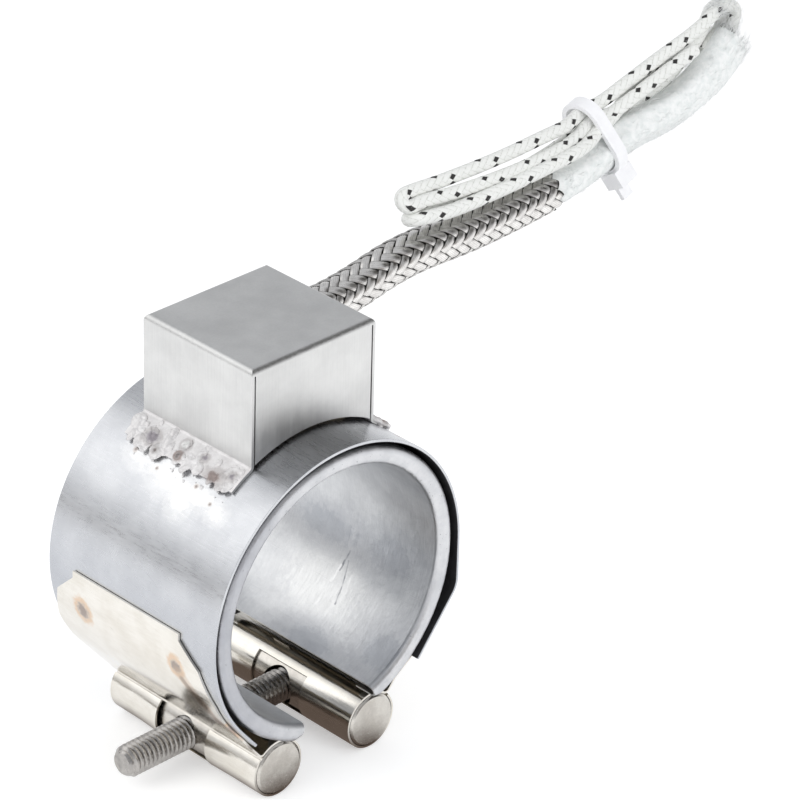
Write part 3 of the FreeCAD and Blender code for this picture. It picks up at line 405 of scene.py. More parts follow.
mica_sheet = sheet_metal("mica sheet", (0.33, 0.27, 0.18), (0.58, 0.50, 0.37), (0.35, 0.6),
                         place="ring", blotch=260.0, bump=0.3, metallic=0.0)[0]
ribbon_metal = sheet_metal("ribbon metal", (0.30, 0.29, 0.28), (0.46, 0.45, 0.43), (0.3, 0.45), place="ring")[0]
for cad_name, name, material, slot in (
    ("mica_inner", "mica_next_to_bore", mica_sheet, "mica"),
    ("winding_former", "mica_former", mica_sheet, "mica"),
    ("mica_outer", "mica_cover", mica_sheet, "mica"),
    ("resistance_ribbon", "heating_ribbon", ribbon_metal, "resistance_ribbon"),
):
    dressed(bend_with_jaw(ring_map(merged_copy(cad_name, name))), material)


# --- Outer sheet -------------------------------------------------------------
# One strip of aluminised steel rolled round the core, with its ends turned down to the
# clamp. The heat of the welds has left pale, frosted spots, pinholes and scorched marks.

cover_sheet = bend_with_jaw(ring_map(merged_copy("outer_sheet", "cover_band", soften=0.00012)))
aluminised, tree, shader, where, colour = sheet_metal(
    "aluminised sheet", (0.53, 0.54, 0.565), (0.67, 0.68, 0.70), (0.24, 0.36), place="ring", blotch=110.0,
    grain=(2600.0, 260.0, 1.0), bump=0.06)
space = object_place(tree)
# Painted shade: the sheet's colour is made darker towards its bottom.
lower_painted_shade = times(tree, ramp(tree, axes(tree, space)["Z"], 0.013, -0.006, 0.0, 1.0), 0.55)
colour = mix(tree, lower_painted_shade, colour, (0.42, 0.44, 0.48))
FROST, HAZE = (0.90, 0.90, 0.89, 0.55), (0.80, 0.80, 0.80, 0.35)
PINHOLE, SINGED = (0.24, 0.19, 0.17, 0.8), (0.50, 0.43, 0.38, 0.5)
colour = scorched(tree, space, colour, (
    ((-18.6, 8.5, 22.3), 3.0, (1.0, 0.7, 1.0), FROST, HAZE),
    ((-19.0, 1.0, 21.8), 3.4, (0.8, 0.6, 0.8), FROST, HAZE),
    ((-19.3, -7.0, 21.4), 3.2, (1.0, 0.60, 1.0), FROST, HAZE),
    ((-20.3, -12.0, 20.4), 2.2, (1.0, 0.80, 1.0), FROST, HAZE),
    ((-21.2, -4.0, 19.4), 2.4, (0.7, 0.80, 0.7), FROST, HAZE),
    ((-18.3, 10.5, 22.5), 0.6, ROUND, PINHOLE, SINGED),
    ((-19.0, 4.2, 21.7), 0.4, ROUND, PINHOLE, SINGED),
    ((-18.6, -5.2, 22.1), 0.5, ROUND, PINHOLE, SINGED),
    ((-19.7, -9.8, 21.1), 0.4, ROUND, PINHOLE, SINGED),
    ((19.0, 6.0, 21.8), 3.0, (1.0, 0.5, 1.0), FROST, (0.42, 0.33, 0.26, 0.6)),
    ((19.0, -8.0, 21.8), 2.2, (1.0, 0.7, 1.0), (0.30, 0.23, 0.19, 0.7), (0.50, 0.42, 0.36, 0.6)),
    ((16.3, -18.0, 24.0), 1.0, ROUND, (0.30, 0.22, 0.18, 0.6), (0.48, 0.42, 0.38, 0.5)),
))
colour = scratched(tree, space, colour, (
    ((-27.0, 3.0, 10.0), (-28.0, -7.0, 6.6), 0.12, (0.40, 0.41, 0.43, 0.5)),
    ((-12.0, -19.5, 26.1), (-4.0, -19.2, 28.5), 0.12, (0.92, 0.92, 0.92, 0.5)),
    ((-28.4, 15.0, 4.5), (-28.7, 8.0, 1.0), 0.1, (0.90, 0.90, 0.90, 0.5)),
))
feed(tree, shader["Base Color"], colour)
dressed(cover_sheet, aluminised)
# Painted shade: the inward faces of the sheet are painted near black, standing in for the shade between the
# sheet and the core.
painted_shade_inside = sheet_metal("painted shade inside the sheet", (0.020, 0.020, 0.022), (0.060, 0.060, 0.064), (0.5, 0.7),
                     place="ring", blotch=160.0, metallic=0.6)[0]
patched(cover_sheet, painted_shade_inside,
        lambda face: face.normal.dot(Vector((face.center.x, 0, face.center.z)).normalized()) < -0.35)


# --- Clamp -------------------------------------------------------------------
# Two bright nickel-plated straps, spot welded to the outer sheet, wrap the barrel nuts
# and leave a window for the clamp screw. The screw turns in the threaded barrel at the
# left and bears on the plain one at the right.

barrel_low, barrel_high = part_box("threaded_barrel")
BARREL_X, BARREL_Y, BARREL_Z = (barrel_low + barrel_high) / 2
WINDOW_HALF, SPRUNG_LENGTH, LOOP_REACH = 0.0062, 0.0085, 0.0072


def sprung_strap(name, side):
    """A strap whose lugs have sprung a little off the barrel nut beside the window."""
    piece = merged_copy(name, "strap_" + name.split("_")[0])
    edited(piece, *((bpy.ops.mesh.bisect, {"plane_co": (0, BARREL_Y + step * 0.001, 0), "plane_no": (0, 1, 0)})
                    for step in range(-19, 20)))
    for vertex in piece.data.vertices:
        x, y, z = vertex.co
        out_x, out_z = x - BARREL_X * side, z - BARREL_Z
        away = math.hypot(out_x, out_z)
        beside = abs(y - BARREL_Y) - WINDOW_HALF
        if away > LOOP_REACH or beside < -0.0006:
            continue
        facing = max(0.0, -side * out_x / away)
        fade = max(0.0, 1.0 - beside / SPRUNG_LENGTH)
        lift = (0.00062 if y > BARREL_Y else 0.00022) * facing ** 1.5 * fade * fade
        vertex.co.x += out_x / away * lift
        vertex.co.z += out_z / away * lift
    return smoothed(bevelled(piece, 0.00006, 50, segments=1), 32)


left_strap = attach(sprung_strap("left_strap", 1), "closing_jaw")
right_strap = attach(sprung_strap("right_strap", -1), "heater")
bright_strap, tree, shader, where, colour = sheet_metal(
    "bright nickel strap", (0.70, 0.665, 0.60), (0.84, 0.815, 0.765), (0.10, 0.22), blotch=160.0,
    grain=(2500.0, 240.0, 2500.0), bump=0.05)
TAN, UMBER = (0.66, 0.43, 0.25, 0.65), (0.27, 0.21, 0.185, 0.85)
STREAK, FAINT = (0.24, 0.165, 0.12, 0.6), (0.52, 0.38, 0.27, 0.5)
colour = scorched(tree, where, colour, (
    ((-28.6, 12.5, -6.5), 2.5, (1.0, 1.15, 0.85), UMBER, TAN),
    ((-28.6, -11.3, -6.3), 2.1, (1.0, 1.1, 0.85), UMBER, TAN),
    ((-23.2, -19.2, -18.2), 1.6, (0.8, 0.8, 0.6), UMBER, TAN),
    ((28.6, 12.5, -6.5), 2.2, ROUND, UMBER, TAN),
    ((28.5, -11.5, -7.0), 2.2, ROUND, UMBER, TAN),
))
colour = scratched(tree, where, colour, (
    ((-28.4, -11.8, -7.5), (-26.2, -15.8, -13.0), 2.1, FAINT),
    ((-26.2, -15.8, -13.0), (-21.5, -18.5, -20.5), 2.1, FAINT),
    ((-28.0, -12.0, -8.5), (-26.2, -15.8, -13.0), 1.0, STREAK),
    ((-26.2, -15.8, -13.0), (-22.5, -18.2, -19.0), 1.2, STREAK),
    ((-28.5, 6.0, -6.0), (-26.2, -3.0, -13.0), 0.1, (0.48, 0.45, 0.40, 0.6)),
    ((-25.0, 10.0, -15.5), (-20.5, 5.0, -21.5), 0.09, (0.48, 0.45, 0.40, 0.6)),
))
feed(tree, shader["Base Color"], colour)
for strap in (left_strap, right_strap):
    dressed(strap, bright_strap)

left_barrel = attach(merged_copy("threaded_barrel", "barrel_threaded", soften=0.0001), "closing_jaw")
right_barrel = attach(merged_copy("plain_barrel", "barrel_plain", soften=0.0001), "heater")
nickel_barrel = sheet_metal("nickel barrel", (0.50, 0.47, 0.43), (0.70, 0.675, 0.63), (0.16, 0.28),
                            blotch=300.0, grain=(3000.0, 200.0, 3000.0), bump=0.05)[0]
for barrel in (left_barrel, right_barrel):
    dressed(barrel, nickel_barrel)

screw_low, screw_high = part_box("clamp_screw")
SCREW_Y = (screw_low.y + screw_high.y) / 2
SCREW_Z = (screw_low.z + screw_high.z) / 2
HEAD_LENGTH = 0.006
HEAD_X = screw_high.x - HEAD_LENGTH
PITCH, MAJOR, MINOR = 0.001, 0.00299, 0.00252
TIP_RADIUS, TIP_LENGTH = 0.0021, 0.0011


def along_screw(piece, start_x):
    """A piece made along +Z, turned to lie along the screw from one x on."""
    piece.data.transform(Matrix(((0, 0, 1, start_x), (0, 1, 0, SCREW_Y), (-1, 0, 0, SCREW_Z), (0, 0, 0, 1))))
    return smoothed(piece, 25)


def turned_screw():
    """M6 thread turned by a profile of one pitch, cut square at both ends."""
    profile = ((MAJOR, 0.0), (MAJOR, 0.12), (MINOR, 0.46), (MINOR, 0.66), (MAJOR, 1.0))
    mesh = bpy.data.meshes.new("screw_thread")
    mesh.from_pydata([(radius, 0, share * PITCH) for radius, share in profile],
                     [(i, i + 1) for i in range(len(profile) - 1)], [])
    piece = changed(placed("screw_thread", mesh), "SCREW", screw_offset=PITCH, iterations=48, steps=28,
                    render_steps=28, use_merge_vertices=True, merge_threshold=1e-6)
    start = 1.5 * PITCH
    for height, way in ((start, -1), (start + HEAD_X - screw_low.x, 1)):
        edited(piece, (bpy.ops.mesh.bisect, {"plane_co": (0, 0, height), "plane_no": (0, 0, way),
                                             "use_fill": True, "clear_outer": True}))
    edited(piece, (bpy.ops.mesh.normals_make_consistent, {"inside": False}))
    for vertex in piece.data.vertices:
        rise = vertex.co.z - start
        limit = TIP_RADIUS + (MAJOR - TIP_RADIUS) * rise / TIP_LENGTH
        radius = math.hypot(vertex.co.x, vertex.co.y)
        if rise < TIP_LENGTH and radius > limit:
            vertex.co.x *= limit / radius
            vertex.co.y *= limit / radius
    piece.data.transform(Matrix.Translation((0, 0, -start)))
    return along_screw(piece, screw_low.x)


def socket_head():
    """Cap head with a knurled rim and a hexagon socket."""
    bpy.ops.mesh.primitive_cylinder_add(vertices=72, radius=0.005, depth=HEAD_LENGTH,
                                        location=(0, 0, HEAD_LENGTH / 2))
    piece = bpy.context.active_object
    piece.name = "screw_head"
    bpy.ops.object.transform_apply(location=True, rotation=True, scale=True)
    for vertex in piece.data.vertices:
        if round(math.degrees(math.atan2(vertex.co.y, vertex.co.x)) / 5.0) % 2:
            vertex.co.x *= 0.965
            vertex.co.y *= 0.965
    bpy.ops.mesh.primitive_cylinder_add(vertices=6, radius=0.0025 / math.cos(math.pi / 6), depth=HEAD_LENGTH,
                                        location=(0, 0, HEAD_LENGTH))
    key = bpy.context.active_object
    changed(piece, "BOOLEAN", object=key, operation="DIFFERENCE")
    bpy.data.objects.remove(key)
    return along_screw(bevelled(piece, 0.00025, 60), HEAD_X)


screw_steel = sheet_metal("screw steel", (0.28, 0.27, 0.26), (0.50, 0.48, 0.46), (0.18, 0.30),
                          blotch=500.0, grain=900.0, bump=0.08)[0]
for piece in (turned_screw(), socket_head()):
    piece.data.materials.clear()
    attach(piece, "screw")
    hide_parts("clamp_screw")
    dressed(piece, screw_steel)


# --- Terminal box ------------------------------------------------------------
# A small box folded from sheet, open at its corner seams, with a foot turned out at each
# side. The feet are welded to the outer sheet, which leaves rough beads below them.

box_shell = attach(merged_copy("terminal_box", "box_shell", soften=0.00008), "heater")
box_sheet = sheet_metal("box sheet", (0.60, 0.60, 0.595), (0.76, 0.76, 0.75), (0.34, 0.48),
                        grain=(2600.0, 2600.0, 110.0), scratch=(2200.0, 2200.0, 90.0), bump=0.12)[0]
dressed(box_shell, box_sheet)
welded, tree, shader, where, colour = sheet_metal(
    "welded foot", (0.70, 0.68, 0.675), (0.93, 0.915, 0.91), (0.36, 0.56), blotch=520.0,
    grain=1100.0, scratch=500.0, bump=0.4, metallic=0.4)
MAUVE, BROWN = (0.25, 0.22, 0.25, 0.85), (0.27, 0.20, 0.18, 0.85)
DULL = (0.48, 0.45, 0.44, 0.6)
colour = scorched(tree, where, colour, (
    ((-16.1, 8.6, 24.7), 1.7, (1.0, 0.8, 1.0), MAUVE, DULL),
    ((-16.8, -7.6, 24.2), 1.9, (1.0, 0.7, 1.0), BROWN, DULL),
    ((-15.0, -3.5, 25.4), 1.0, ROUND, MAUVE, DULL),
    ((-15.5, -10.8, 25.0), 1.1, ROUND, MAUVE, DULL),
    ((-17.6, 6.2, 23.7), 0.8, ROUND, (0.16, 0.13, 0.12, 0.85), DULL),
    ((-16.7, 1.4, 24.3), 1.0, ROUND, (0.14, 0.11, 0.10, 0.85), BROWN),
    ((-14.6, 1.7, 25.6), 1.3, ROUND, (0.82, 0.82, 0.80, 0.8), DULL),
    ((18.5, 6.0, 23.5), 1.6, ROUND, BROWN, DULL),
    ((17.6, -11.8, 24.0), 1.7, ROUND, BROWN, DULL),
    ((18.5, -8.5, 23.5), 1.8, ROUND, MAUVE, DULL),
))
feed(tree, shader["Base Color"], colour)
FOOT_TOP, FOOT_MIDDLE, SHEET_TOP = 0.0303, 0.02944, 0.02880
BEAD_TOP, LARGE_BEAD = 0.0308, 0.0011


def on_foot(face):
    corners = [box_shell.data.vertices[index].co for index in face.vertices]
    return abs(face.normal.y) < 0.5 and max(math.hypot(corner.x, corner.z) for corner in corners) < FOOT_TOP


patched(box_shell, welded, on_foot)


def weld_beads():
    """Beads and spatter along both feet, melted into one skin."""
    chance = random.Random(11)
    draw, beads = chance.uniform, []
    for side, count in ((-1, 84), (1, 56)):
        for _ in range(count):
            over_foot = chance.random() < 0.62
            turn = math.radians(draw(27.5, 37.0) if over_foot else draw(36.5, 41.0))
            y = draw(-0.0118, 0.0135)
            radius = FOOT_MIDDLE if over_foot else SHEET_TOP
            size = draw(0.0005, 0.0015) if over_foot else draw(0.00012, 0.00030)
            large = side > 0 and len(beads) % 7 == 0
            if large:
                turn, y, size = math.radians(draw(33.0, 39.5)), draw(-0.0126, -0.0098), LARGE_BEAD
            place = Vector((side * radius * math.sin(turn), y, radius * math.cos(turn)))
            bpy.ops.mesh.primitive_ico_sphere_add(subdivisions=2, radius=size)
            bead = bpy.context.active_object
            lean = Vector((place.x, 0, place.z)).normalized().to_track_quat("Z", "Y").to_matrix().to_4x4()
            squat = draw(0.16, 0.30) if over_foot else 0.6
            squat = 0.55 if large else squat
            flat = Matrix.Diagonal((draw(0.6, 1.3), draw(0.8, 2.0), squat, 1))
            bead.data.transform(Matrix.Translation(place) @ lean @ flat)
            beads.append(bead)
    take(beads[0])
    for bead in beads:
        bead.select_set(True)
    bpy.ops.object.join()
    piece = bpy.context.active_object
    piece.name = "weld_beads"
    changed(piece, "REMESH", mode="VOXEL", voxel_size=0.00011)
    changed(piece, "SMOOTH", factor=0.5, iterations=4)
    for vertex in piece.data.vertices:
        place = vertex.co * 1000.0
        lumps = noise.fractal(place * 0.7, 1.2, 2.0, 3) * 0.00026
        crater = max(0.0, 0.14 - abs(noise.noise(place * 0.6 + Vector((7.0, 3.0, 1.0))))) * -0.0009
        away = math.hypot(vertex.co.x, vertex.co.z)
        vertex.co += Vector((vertex.co.x, 0, vertex.co.z)) / away * min(lumps + crater, BEAD_TOP - away)
    changed(piece, "SMOOTH", factor=0.5, iterations=2)
    bpy.ops.object.shade_smooth()
    return piece


dressed(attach(weld_beads(), "heater"), welded)

strip_nickel = sheet_metal("nickel strip", (0.58, 0.55, 0.50), (0.70, 0.67, 0.62), (0.2, 0.35))[0]
crimp_brass = sheet_metal("crimp brass", (0.52, 0.47, 0.38), (0.66, 0.62, 0.52), (0.25, 0.4))[0]
eyelet_steel = sheet_metal("eyelet steel", (0.55, 0.54, 0.52), (0.70, 0.69, 0.67), (0.2, 0.32))[0]
for cad_name, name, soften, material, slot in (
    ("insulating_pad", "box_pad", 0.0, mica_sheet, "mica"),
    ("bus_strip_front", "strip_front", 0.0, strip_nickel, "nickel"),
    ("bus_strip_back", "strip_back", 0.0, strip_nickel, "nickel"),
    ("crimp_front", "ferrule_front", 0.0001, crimp_brass, "crimp_brass"),
    ("crimp_back", "ferrule_back", 0.0001, crimp_brass, "crimp_brass"),
    ("outlet_eyelet", "lead_eyelet", 0.0001, eyelet_steel, "eyelet_steel"),
):
    piece = merged_copy(cad_name, name, soften=soften)
    if cad_name == "bus_strip_front":
        bend_with_jaw(piece)
    else:
        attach(piece, "heater")
    if slot == "mica":
        ring_map(piece)
    dressed(piece, material)


# --- Leads -------------------------------------------------------------------
# Two stranded leads in white braided glass sleeving with black tracer yarns. They come
# out of the glass sleeve's tip, are folded to and fro, and end bare beside it.

def route_line(points, spacing):
    """Points along the smooth spline that a route's points control."""
    curve = bpy.data.curves.new("route", "CURVE")
    curve.dimensions, curve.resolution_u = "3D", 24
    spline = curve.splines.new("NURBS")
    spline.points.add(len(points) - 1)
    for place, point in zip(spline.points, points):
        place.co = (*point, 1)
    spline.order_u, spline.use_endpoint_u = 3, True
    holder = placed("route", curve)
    bpy.context.view_layer.update()
    mesh = bpy.data.meshes.new_from_object(holder.evaluated_get(bpy.context.evaluated_depsgraph_get()))
    read = [vertex.co.copy() for vertex in mesh.vertices]
    bpy.data.objects.remove(holder)
    bpy.data.curves.remove(curve)
    bpy.data.meshes.remove(mesh)
    even, travelled = [read[0]], 0.0
    for before, after in zip(read, read[1:]):
        run = (after - before).length
        while travelled + run >= spacing and run > 0:
            before = before.lerp(after, (spacing - travelled) / run)
            run, travelled = (after - before).length, 0.0
            even.append(before)
        travelled += run
    if (read[-1] - even[-1]).length > spacing * 0.3:
        even.append(read[-1])
    return even


def distances(line):
    """How far along the line each of its points is."""
    along = [0.0]
    for before, after in zip(line, line[1:]):
        along.append(along[-1] + (after - before).length)
    return along


def line_frames(line):
    """Place, side and up across the line at each point, without twist."""
    frames, side = [], None
    for index, point in enumerate(line):
        ahead = (line[min(index + 1, len(line) - 1)] - line[max(index - 1, 0)]).normalized()
        side = side or ahead.orthogonal()
        side = (side - ahead * side.dot(ahead)).normalized()
        frames.append((point, side, ahead.cross(side)))
    return frames


CORNERS = ((0, 0), (1, 0), (1, 1), (0, 1))


def mesh_piece(name, places, faces, maps=()):
    """A piece from its points and faces, with the corners of its faces in the wrap map."""
    mesh = bpy.data.meshes.new(name)
    mesh.from_pydata(places, [], faces)
    if maps:
        layer = mesh.uv_layers.new(name="wrap")
        for face, corners in zip(mesh.polygons, maps):
            for loop, corner in zip(face.loop_indices, corners):
                layer.data[loop].uv = corner
    return placed(name, mesh)


def sleeve_tube(name, line, radius_at, sides):
    """Closed tube round a line. Its map is once round in u and metres along in v."""
    along = distances(line)
    places, faces, maps = [], [], []
    for s, (point, side, up) in zip(along, line_frames(line)):
        for spoke in range(sides):
            turn = 2 * math.pi * spoke / sides
            places.append(point + (side * math.cos(turn) + up * math.sin(turn)) * radius_at(s, turn))
    for index in range(len(line) - 1):
        first, second = index * sides, (index + 1) * sides
        for spoke in range(sides):
            after = (spoke + 1) % sides
            faces.append((first + spoke, first + after, second + after, second + spoke))
            maps.append([((spoke + step) / sides, along[index + on]) for step, on in CORNERS])
    last = (len(line) - 1) * sides
    faces += [tuple(reversed(range(sides))), tuple(range(last, last + sides))]
    maps += [[(0.5, 0.0)] * sides, [(0.5, along[-1])] * sides]
    return smoothed(mesh_piece(name, places, faces, maps), 60)


def braid_weave():
    """Over-two-under-two braid from a wrap map: its relief, and which cells are tracer yarn."""
    tree, enter, leave = new_group("braid weave", {"Map": ORIGIN, "Carriers": 8.0, "Turns": 93.0},
                                   ("Relief", "Tracer"))
    spread = axes(tree, enter["Map"])
    around = times(tree, spread["X"], enter["Carriers"])
    rate = times(tree, enter["Turns"], enter["Carriers"])
    along = times(tree, spread["Y"], rate)
    phases = [maths(tree, way, around, along) for way in ("ADD", "SUBTRACT")]
    cells = [maths(tree, "FLOOR", phase) for phase in phases]
    turn = maths(tree, "FLOORED_MODULO", maths(tree, "ADD", *cells), 4.0)
    over = maths(tree, "LESS_THAN", turn, 1.5)
    under = maths(tree, "SUBTRACT", 1.0, over)
    half = maths(tree, "LESS_THAN", maths(tree, "FLOORED_MODULO", turn, 2.0), 0.5)
    ridges, marks = [], []
    for phase, cell, shown, tracer in zip(phases, cells, (over, under), (0.0, 3.0)):
        ridge = size_of(tree, maths(tree, "SINE", times(tree, phase, math.pi)))
        ridges.append(times(tree, ridge, shown))
        yarn = maths(tree, "FLOORED_MODULO", cell, enter["Carriers"])
        near = maths(tree, "LESS_THAN", size_of(tree, maths(tree, "SUBTRACT", yarn, tracer)), 0.5)
        marks.append(times(tree, times(tree, near, half), shown))
    feed(tree, leave["Relief"], maths(tree, "ADD", *ridges))
    feed(tree, leave["Tracer"], maths(tree, "MAXIMUM", *marks))
    return tree


BRAID_WEAVE = braid_weave()


def lead_sleeving():
    material, tree, shader = new_material("braided lead sleeving")
    weave = node(tree, "Group", node_tree=BRAID_WEAVE, Map=map_place(tree, "wrap"), Carriers=6.0,
                 Turns=93.0).outputs
    fuzz = cloudy(tree, object_place(tree), 2200.0, 3.0)
    # Painted shade: the yarn is painted darker in the valleys of the weave.
    valley = ramp(tree, weave["Relief"], 0.0, 0.55)
    white = mix(tree, valley, (0.64, 0.65, 0.61), (0.84, 0.85, 0.82))
    white = mix(tree, ramp(tree, fuzz, 0.35, 0.75), white, (0.88, 0.88, 0.86))
    worn = times(tree, weave["Tracer"], ramp(tree, fuzz, 0.22, 0.36, 0.55, 1.0))
    worn = times(tree, worn, ramp(tree, weave["Relief"], 0.15, 0.5))
    feed(tree, shader["Base Color"], mix(tree, worn, white, (0.030, 0.028, 0.028)))
    feed(tree, shader["Roughness"], 0.78)
    lift = maths(tree, "MULTIPLY_ADD", fuzz, 0.5, weave["Relief"])
    feed(tree, shader["Normal"], bumped(tree, lift, 0.55, 0.00012))
    return material


LEAD_RADIUS = 0.00125
LEAD_ROUTES = {
    "lead_one": (
        (0.1195, 0.0074, 0.0541), (0.1246, 0.0082, 0.0560), (0.1286, 0.0092, 0.0583), (0.1290, 0.0098, 0.0610),
        (0.1252, 0.0098, 0.0621), (0.1180, 0.0086, 0.0599), (0.1080, 0.0080, 0.0581), (0.0970, 0.0074, 0.0557),
        (0.0905, 0.0073, 0.0539), (0.0865, 0.0078, 0.0537), (0.0810, 0.0062, 0.0528), (0.0750, 0.0056, 0.0531),
        (0.0620, 0.0047, 0.0531), (0.0470, 0.0048, 0.0533), (0.0415, 0.0049, 0.0537), (0.0371, 0.0047, 0.0539),
        (0.0371, 0.0027, 0.0520), (0.0415, 0.0031, 0.0522), (0.0470, 0.0027, 0.0515), (0.0620, 0.0023, 0.0508),
        (0.0750, 0.0030, 0.0507), (0.0815, 0.0042, 0.0509), (0.0865, 0.0061, 0.0521), (0.0905, 0.0050, 0.0522),
        (0.0970, 0.0050, 0.0540), (0.1080, 0.0058, 0.0563), (0.1145, 0.0064, 0.0574),
    ),
    "lead_two": (
        (0.1195, 0.0088, 0.0546), (0.1236, 0.0098, 0.0560), (0.1268, 0.0108, 0.0572), (0.1283, 0.0120, 0.0590),
        (0.1274, 0.0130, 0.0606), (0.1250, 0.0126, 0.0600), (0.1205, 0.0104, 0.0570), (0.1110, 0.0088, 0.0527),
        (0.1030, 0.0080, 0.0508), (0.0970, 0.0073, 0.0497), (0.0915, 0.0083, 0.0509), (0.0865, 0.0076, 0.0498),
        (0.0750, 0.0055, 0.0492), (0.0620, 0.0043, 0.0486), (0.0500, 0.0042, 0.0484), (0.0420, 0.0043, 0.0492),
        (0.0382, 0.0040, 0.0493), (0.0382, 0.0015, 0.0501), (0.0415, 0.0011, 0.0499), (0.0470, 0.0006, 0.0494),
        (0.0620, 0.0005, 0.0497), (0.0750, 0.0011, 0.0500), (0.0815, 0.0019, 0.0501), (0.0865, 0.0038, 0.0510),
        (0.0900, 0.0045, 0.0517), (0.0945, 0.0064, 0.0517), (0.0990, 0.0082, 0.0533), (0.1050, 0.0089, 0.0550),
        (0.1110, 0.0094, 0.0567), (0.1150, 0.0098, 0.0578),
    ),
}
glass_braid = lead_sleeving()
for name, route in LEAD_ROUTES.items():
    line = route_line(route, 0.0005)
    lead = sleeve_tube(name, line, lambda s, turn: LEAD_RADIUS, 20)
    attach(lead, "heater")
    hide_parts("lead_hank")
    dressed(lead, glass_braid)

inner_sleeving = sheet_metal("inside lead sleeving", (0.70, 0.69, 0.65), (0.86, 0.85, 0.81), (0.7, 0.85),
                             blotch=700.0, grain=1500.0, bump=0.4, metallic=0.0)[0]
for cad_name in ("inner_lead_front", "inner_lead_back"):
    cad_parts[cad_name].data.materials.clear()
    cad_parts[cad_name].data.materials.append(inner_sleeving)


# --- Armour braid ------------------------------------------------------------
# A tube braided from twenty flat bundles of stainless wire, ten each way, that pass over
# two and under two. It is cut off square where the glass sleeve comes out.

BRAID_ROUTE = (
    (0.0158, 0.0050, 0.0386), (0.0240, 0.0050, 0.0386), (0.0375, 0.0039, 0.0427), (0.0566, 0.0030, 0.0422),
    (0.0732, 0.0032, 0.0436),
)
SOFT_STEP = 0.0006


def wire_braid(name, line, bundles=10, lay=0.0255, wires=5):
    """Flat bundles of wire wound both ways round a line.

    The map counts wires across a bundle in u and metres along in v. The point attribute
    level is 1 where a bundle lies on top, and 0 where it is deepest and at the cut ends.
    """
    middle, swing, thick, half_width = 0.00338, 0.00026, 0.00012, 0.00078
    ridge_height, crown_drop, cut_fade = 0.00007, 0.00020, 0.0006
    along, frames = distances(line), line_frames(line)
    slant = math.atan2(2 * math.pi * middle, lay)
    across = 2 * wires + 1
    places, faces, maps, levels = [], [], [], []
    for way in (1, -1):
        for bundle in range(bundles):
            start = len(places)
            for s, (point, side, up) in zip(along, frames):
                phase = math.cos(math.pi / 2 * (2 * bundle + way * 2 * bundles * s / lay - 0.5))
                height = way * max(-1.0, min(1.0, 1.7 * phase)) * swing
                centre_turn = way * 2 * math.pi * s / lay + 2 * math.pi * bundle / bundles
                cut = max(0.0, min(s, along[-1] - s) / cut_fade)
                levels += [min(1.0, max(0.0, 0.72 + 0.6 * height / swing), cut)] * across
                for k in range(across):
                    t = 2 * k / (across - 1) - 1
                    ridge = ridge_height * abs(math.sin(math.pi * wires * (t + 1) / 2))
                    radius = middle + height + thick + ridge - crown_drop * t * t
                    turn = centre_turn + t * half_width * math.cos(slant) / middle
                    shift = -way * t * half_width * math.sin(slant)
                    places.append(point + (side * math.cos(turn) + up * math.sin(turn)) * radius
                                  + side.cross(up) * shift)
            for index in range(len(frames) - 1):
                for k in range(across - 1):
                    a = start + index * across + k
                    faces.append((a, a + 1, a + across + 1, a + across))
                    maps.append([((k + step) / wires, along[index + on]) for step, on in CORNERS])
    piece = mesh_piece(name, places, faces, maps)
    piece.data.attributes.new("level", "FLOAT", "POINT").data.foreach_set("value", levels)
    return smoothed(changed(piece, "SOLIDIFY", thickness=thick, offset=0.0), 60)


braid_line = route_line(BRAID_ROUTE, SOFT_STEP)
braid = wire_braid("armour_braid_wires", braid_line)
braid_steel, tree, shader, where, colour = sheet_metal(
    "braid wire", (0.68, 0.66, 0.64), (0.96, 0.945, 0.92), (0.26, 0.42), blotch=650.0,
    grain=1500.0)
# Painted shade: the wire is painted near black along the edges of each bundle, a little darker between its
# wires, and where a bundle passes under the others. The cut ends are painted dark as well.
level = node(tree, "Attribute", attribute_name="level").outputs["Fac"]
across = axes(tree, map_place(tree, "wrap"))["X"]
hem = ramp(tree, size_of(tree, maths(tree, "SUBTRACT", across, 1.0)), 0.74, 0.96, 1.0, 0.0)
between = size_of(tree, maths(tree, "SINE", times(tree, across, 2.5 * math.pi)))
hem = times(tree, hem, ramp(tree, between, 0.0, 0.45, 0.62, 1.0))
bright = times(tree, hem, ramp(tree, level, 0.25, 0.75))
feed(tree, shader["Base Color"], mix(tree, bright, (0.035, 0.033, 0.030), colour))
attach(braid, "heater")
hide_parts("armour_braid")
dressed(braid, braid_steel)
# Painted shade: a near black tube inside the braid, so that the gaps between its bundles look dark.
braid_shade_tube = sleeve_tube("braid_shade_tube", braid_line[1:-1], lambda s, turn: 0.0030, 24)
braid_shade_paint = sheet_metal("painted shade inside the braid", (0.02, 0.02, 0.02), (0.05, 0.05, 0.05), (0.6, 0.8),
                          blotch=700.0, metallic=0.2)[0]
dressed(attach(braid_shade_tube, "heater"), braid_shade_paint)


# --- Glass sleeve ------------------------------------------------------------
# A soft white tube knitted from glass yarn, with fluff along it and a frayed tip where
# the leads come out.

SLEEVE_ROUTE = (
    (0.0715, 0.0032, 0.0434), (0.0815, 0.0033, 0.0443), (0.0940, 0.0042, 0.0480), (0.1072, 0.0048, 0.0483),
    (0.1149, 0.0058, 0.0504), (0.1214, 0.0070, 0.0525), (0.1260, 0.0083, 0.0550),
)
SLEEVE_RADIUS = 0.0034


def sleeve_radius(s, turn):
    inside = min(1.0, s / 0.003)
    fold = 0.00022 * math.sin(3 * turn + 90 * s) + 0.00016 * math.sin(5 * turn - 160 * s + 1.0)
    frayed = 0.0004 * min(1.0, max(0.0, (s - 0.026) / 0.024))
    return 0.0029 + (SLEEVE_RADIUS - 0.0001 - 0.0029) * inside + fold * inside + frayed


sleeve_line = route_line(SLEEVE_ROUTE, SOFT_STEP)
glass_sleeve = sleeve_tube("glass_sleeve_tube", sleeve_line, sleeve_radius, 48)


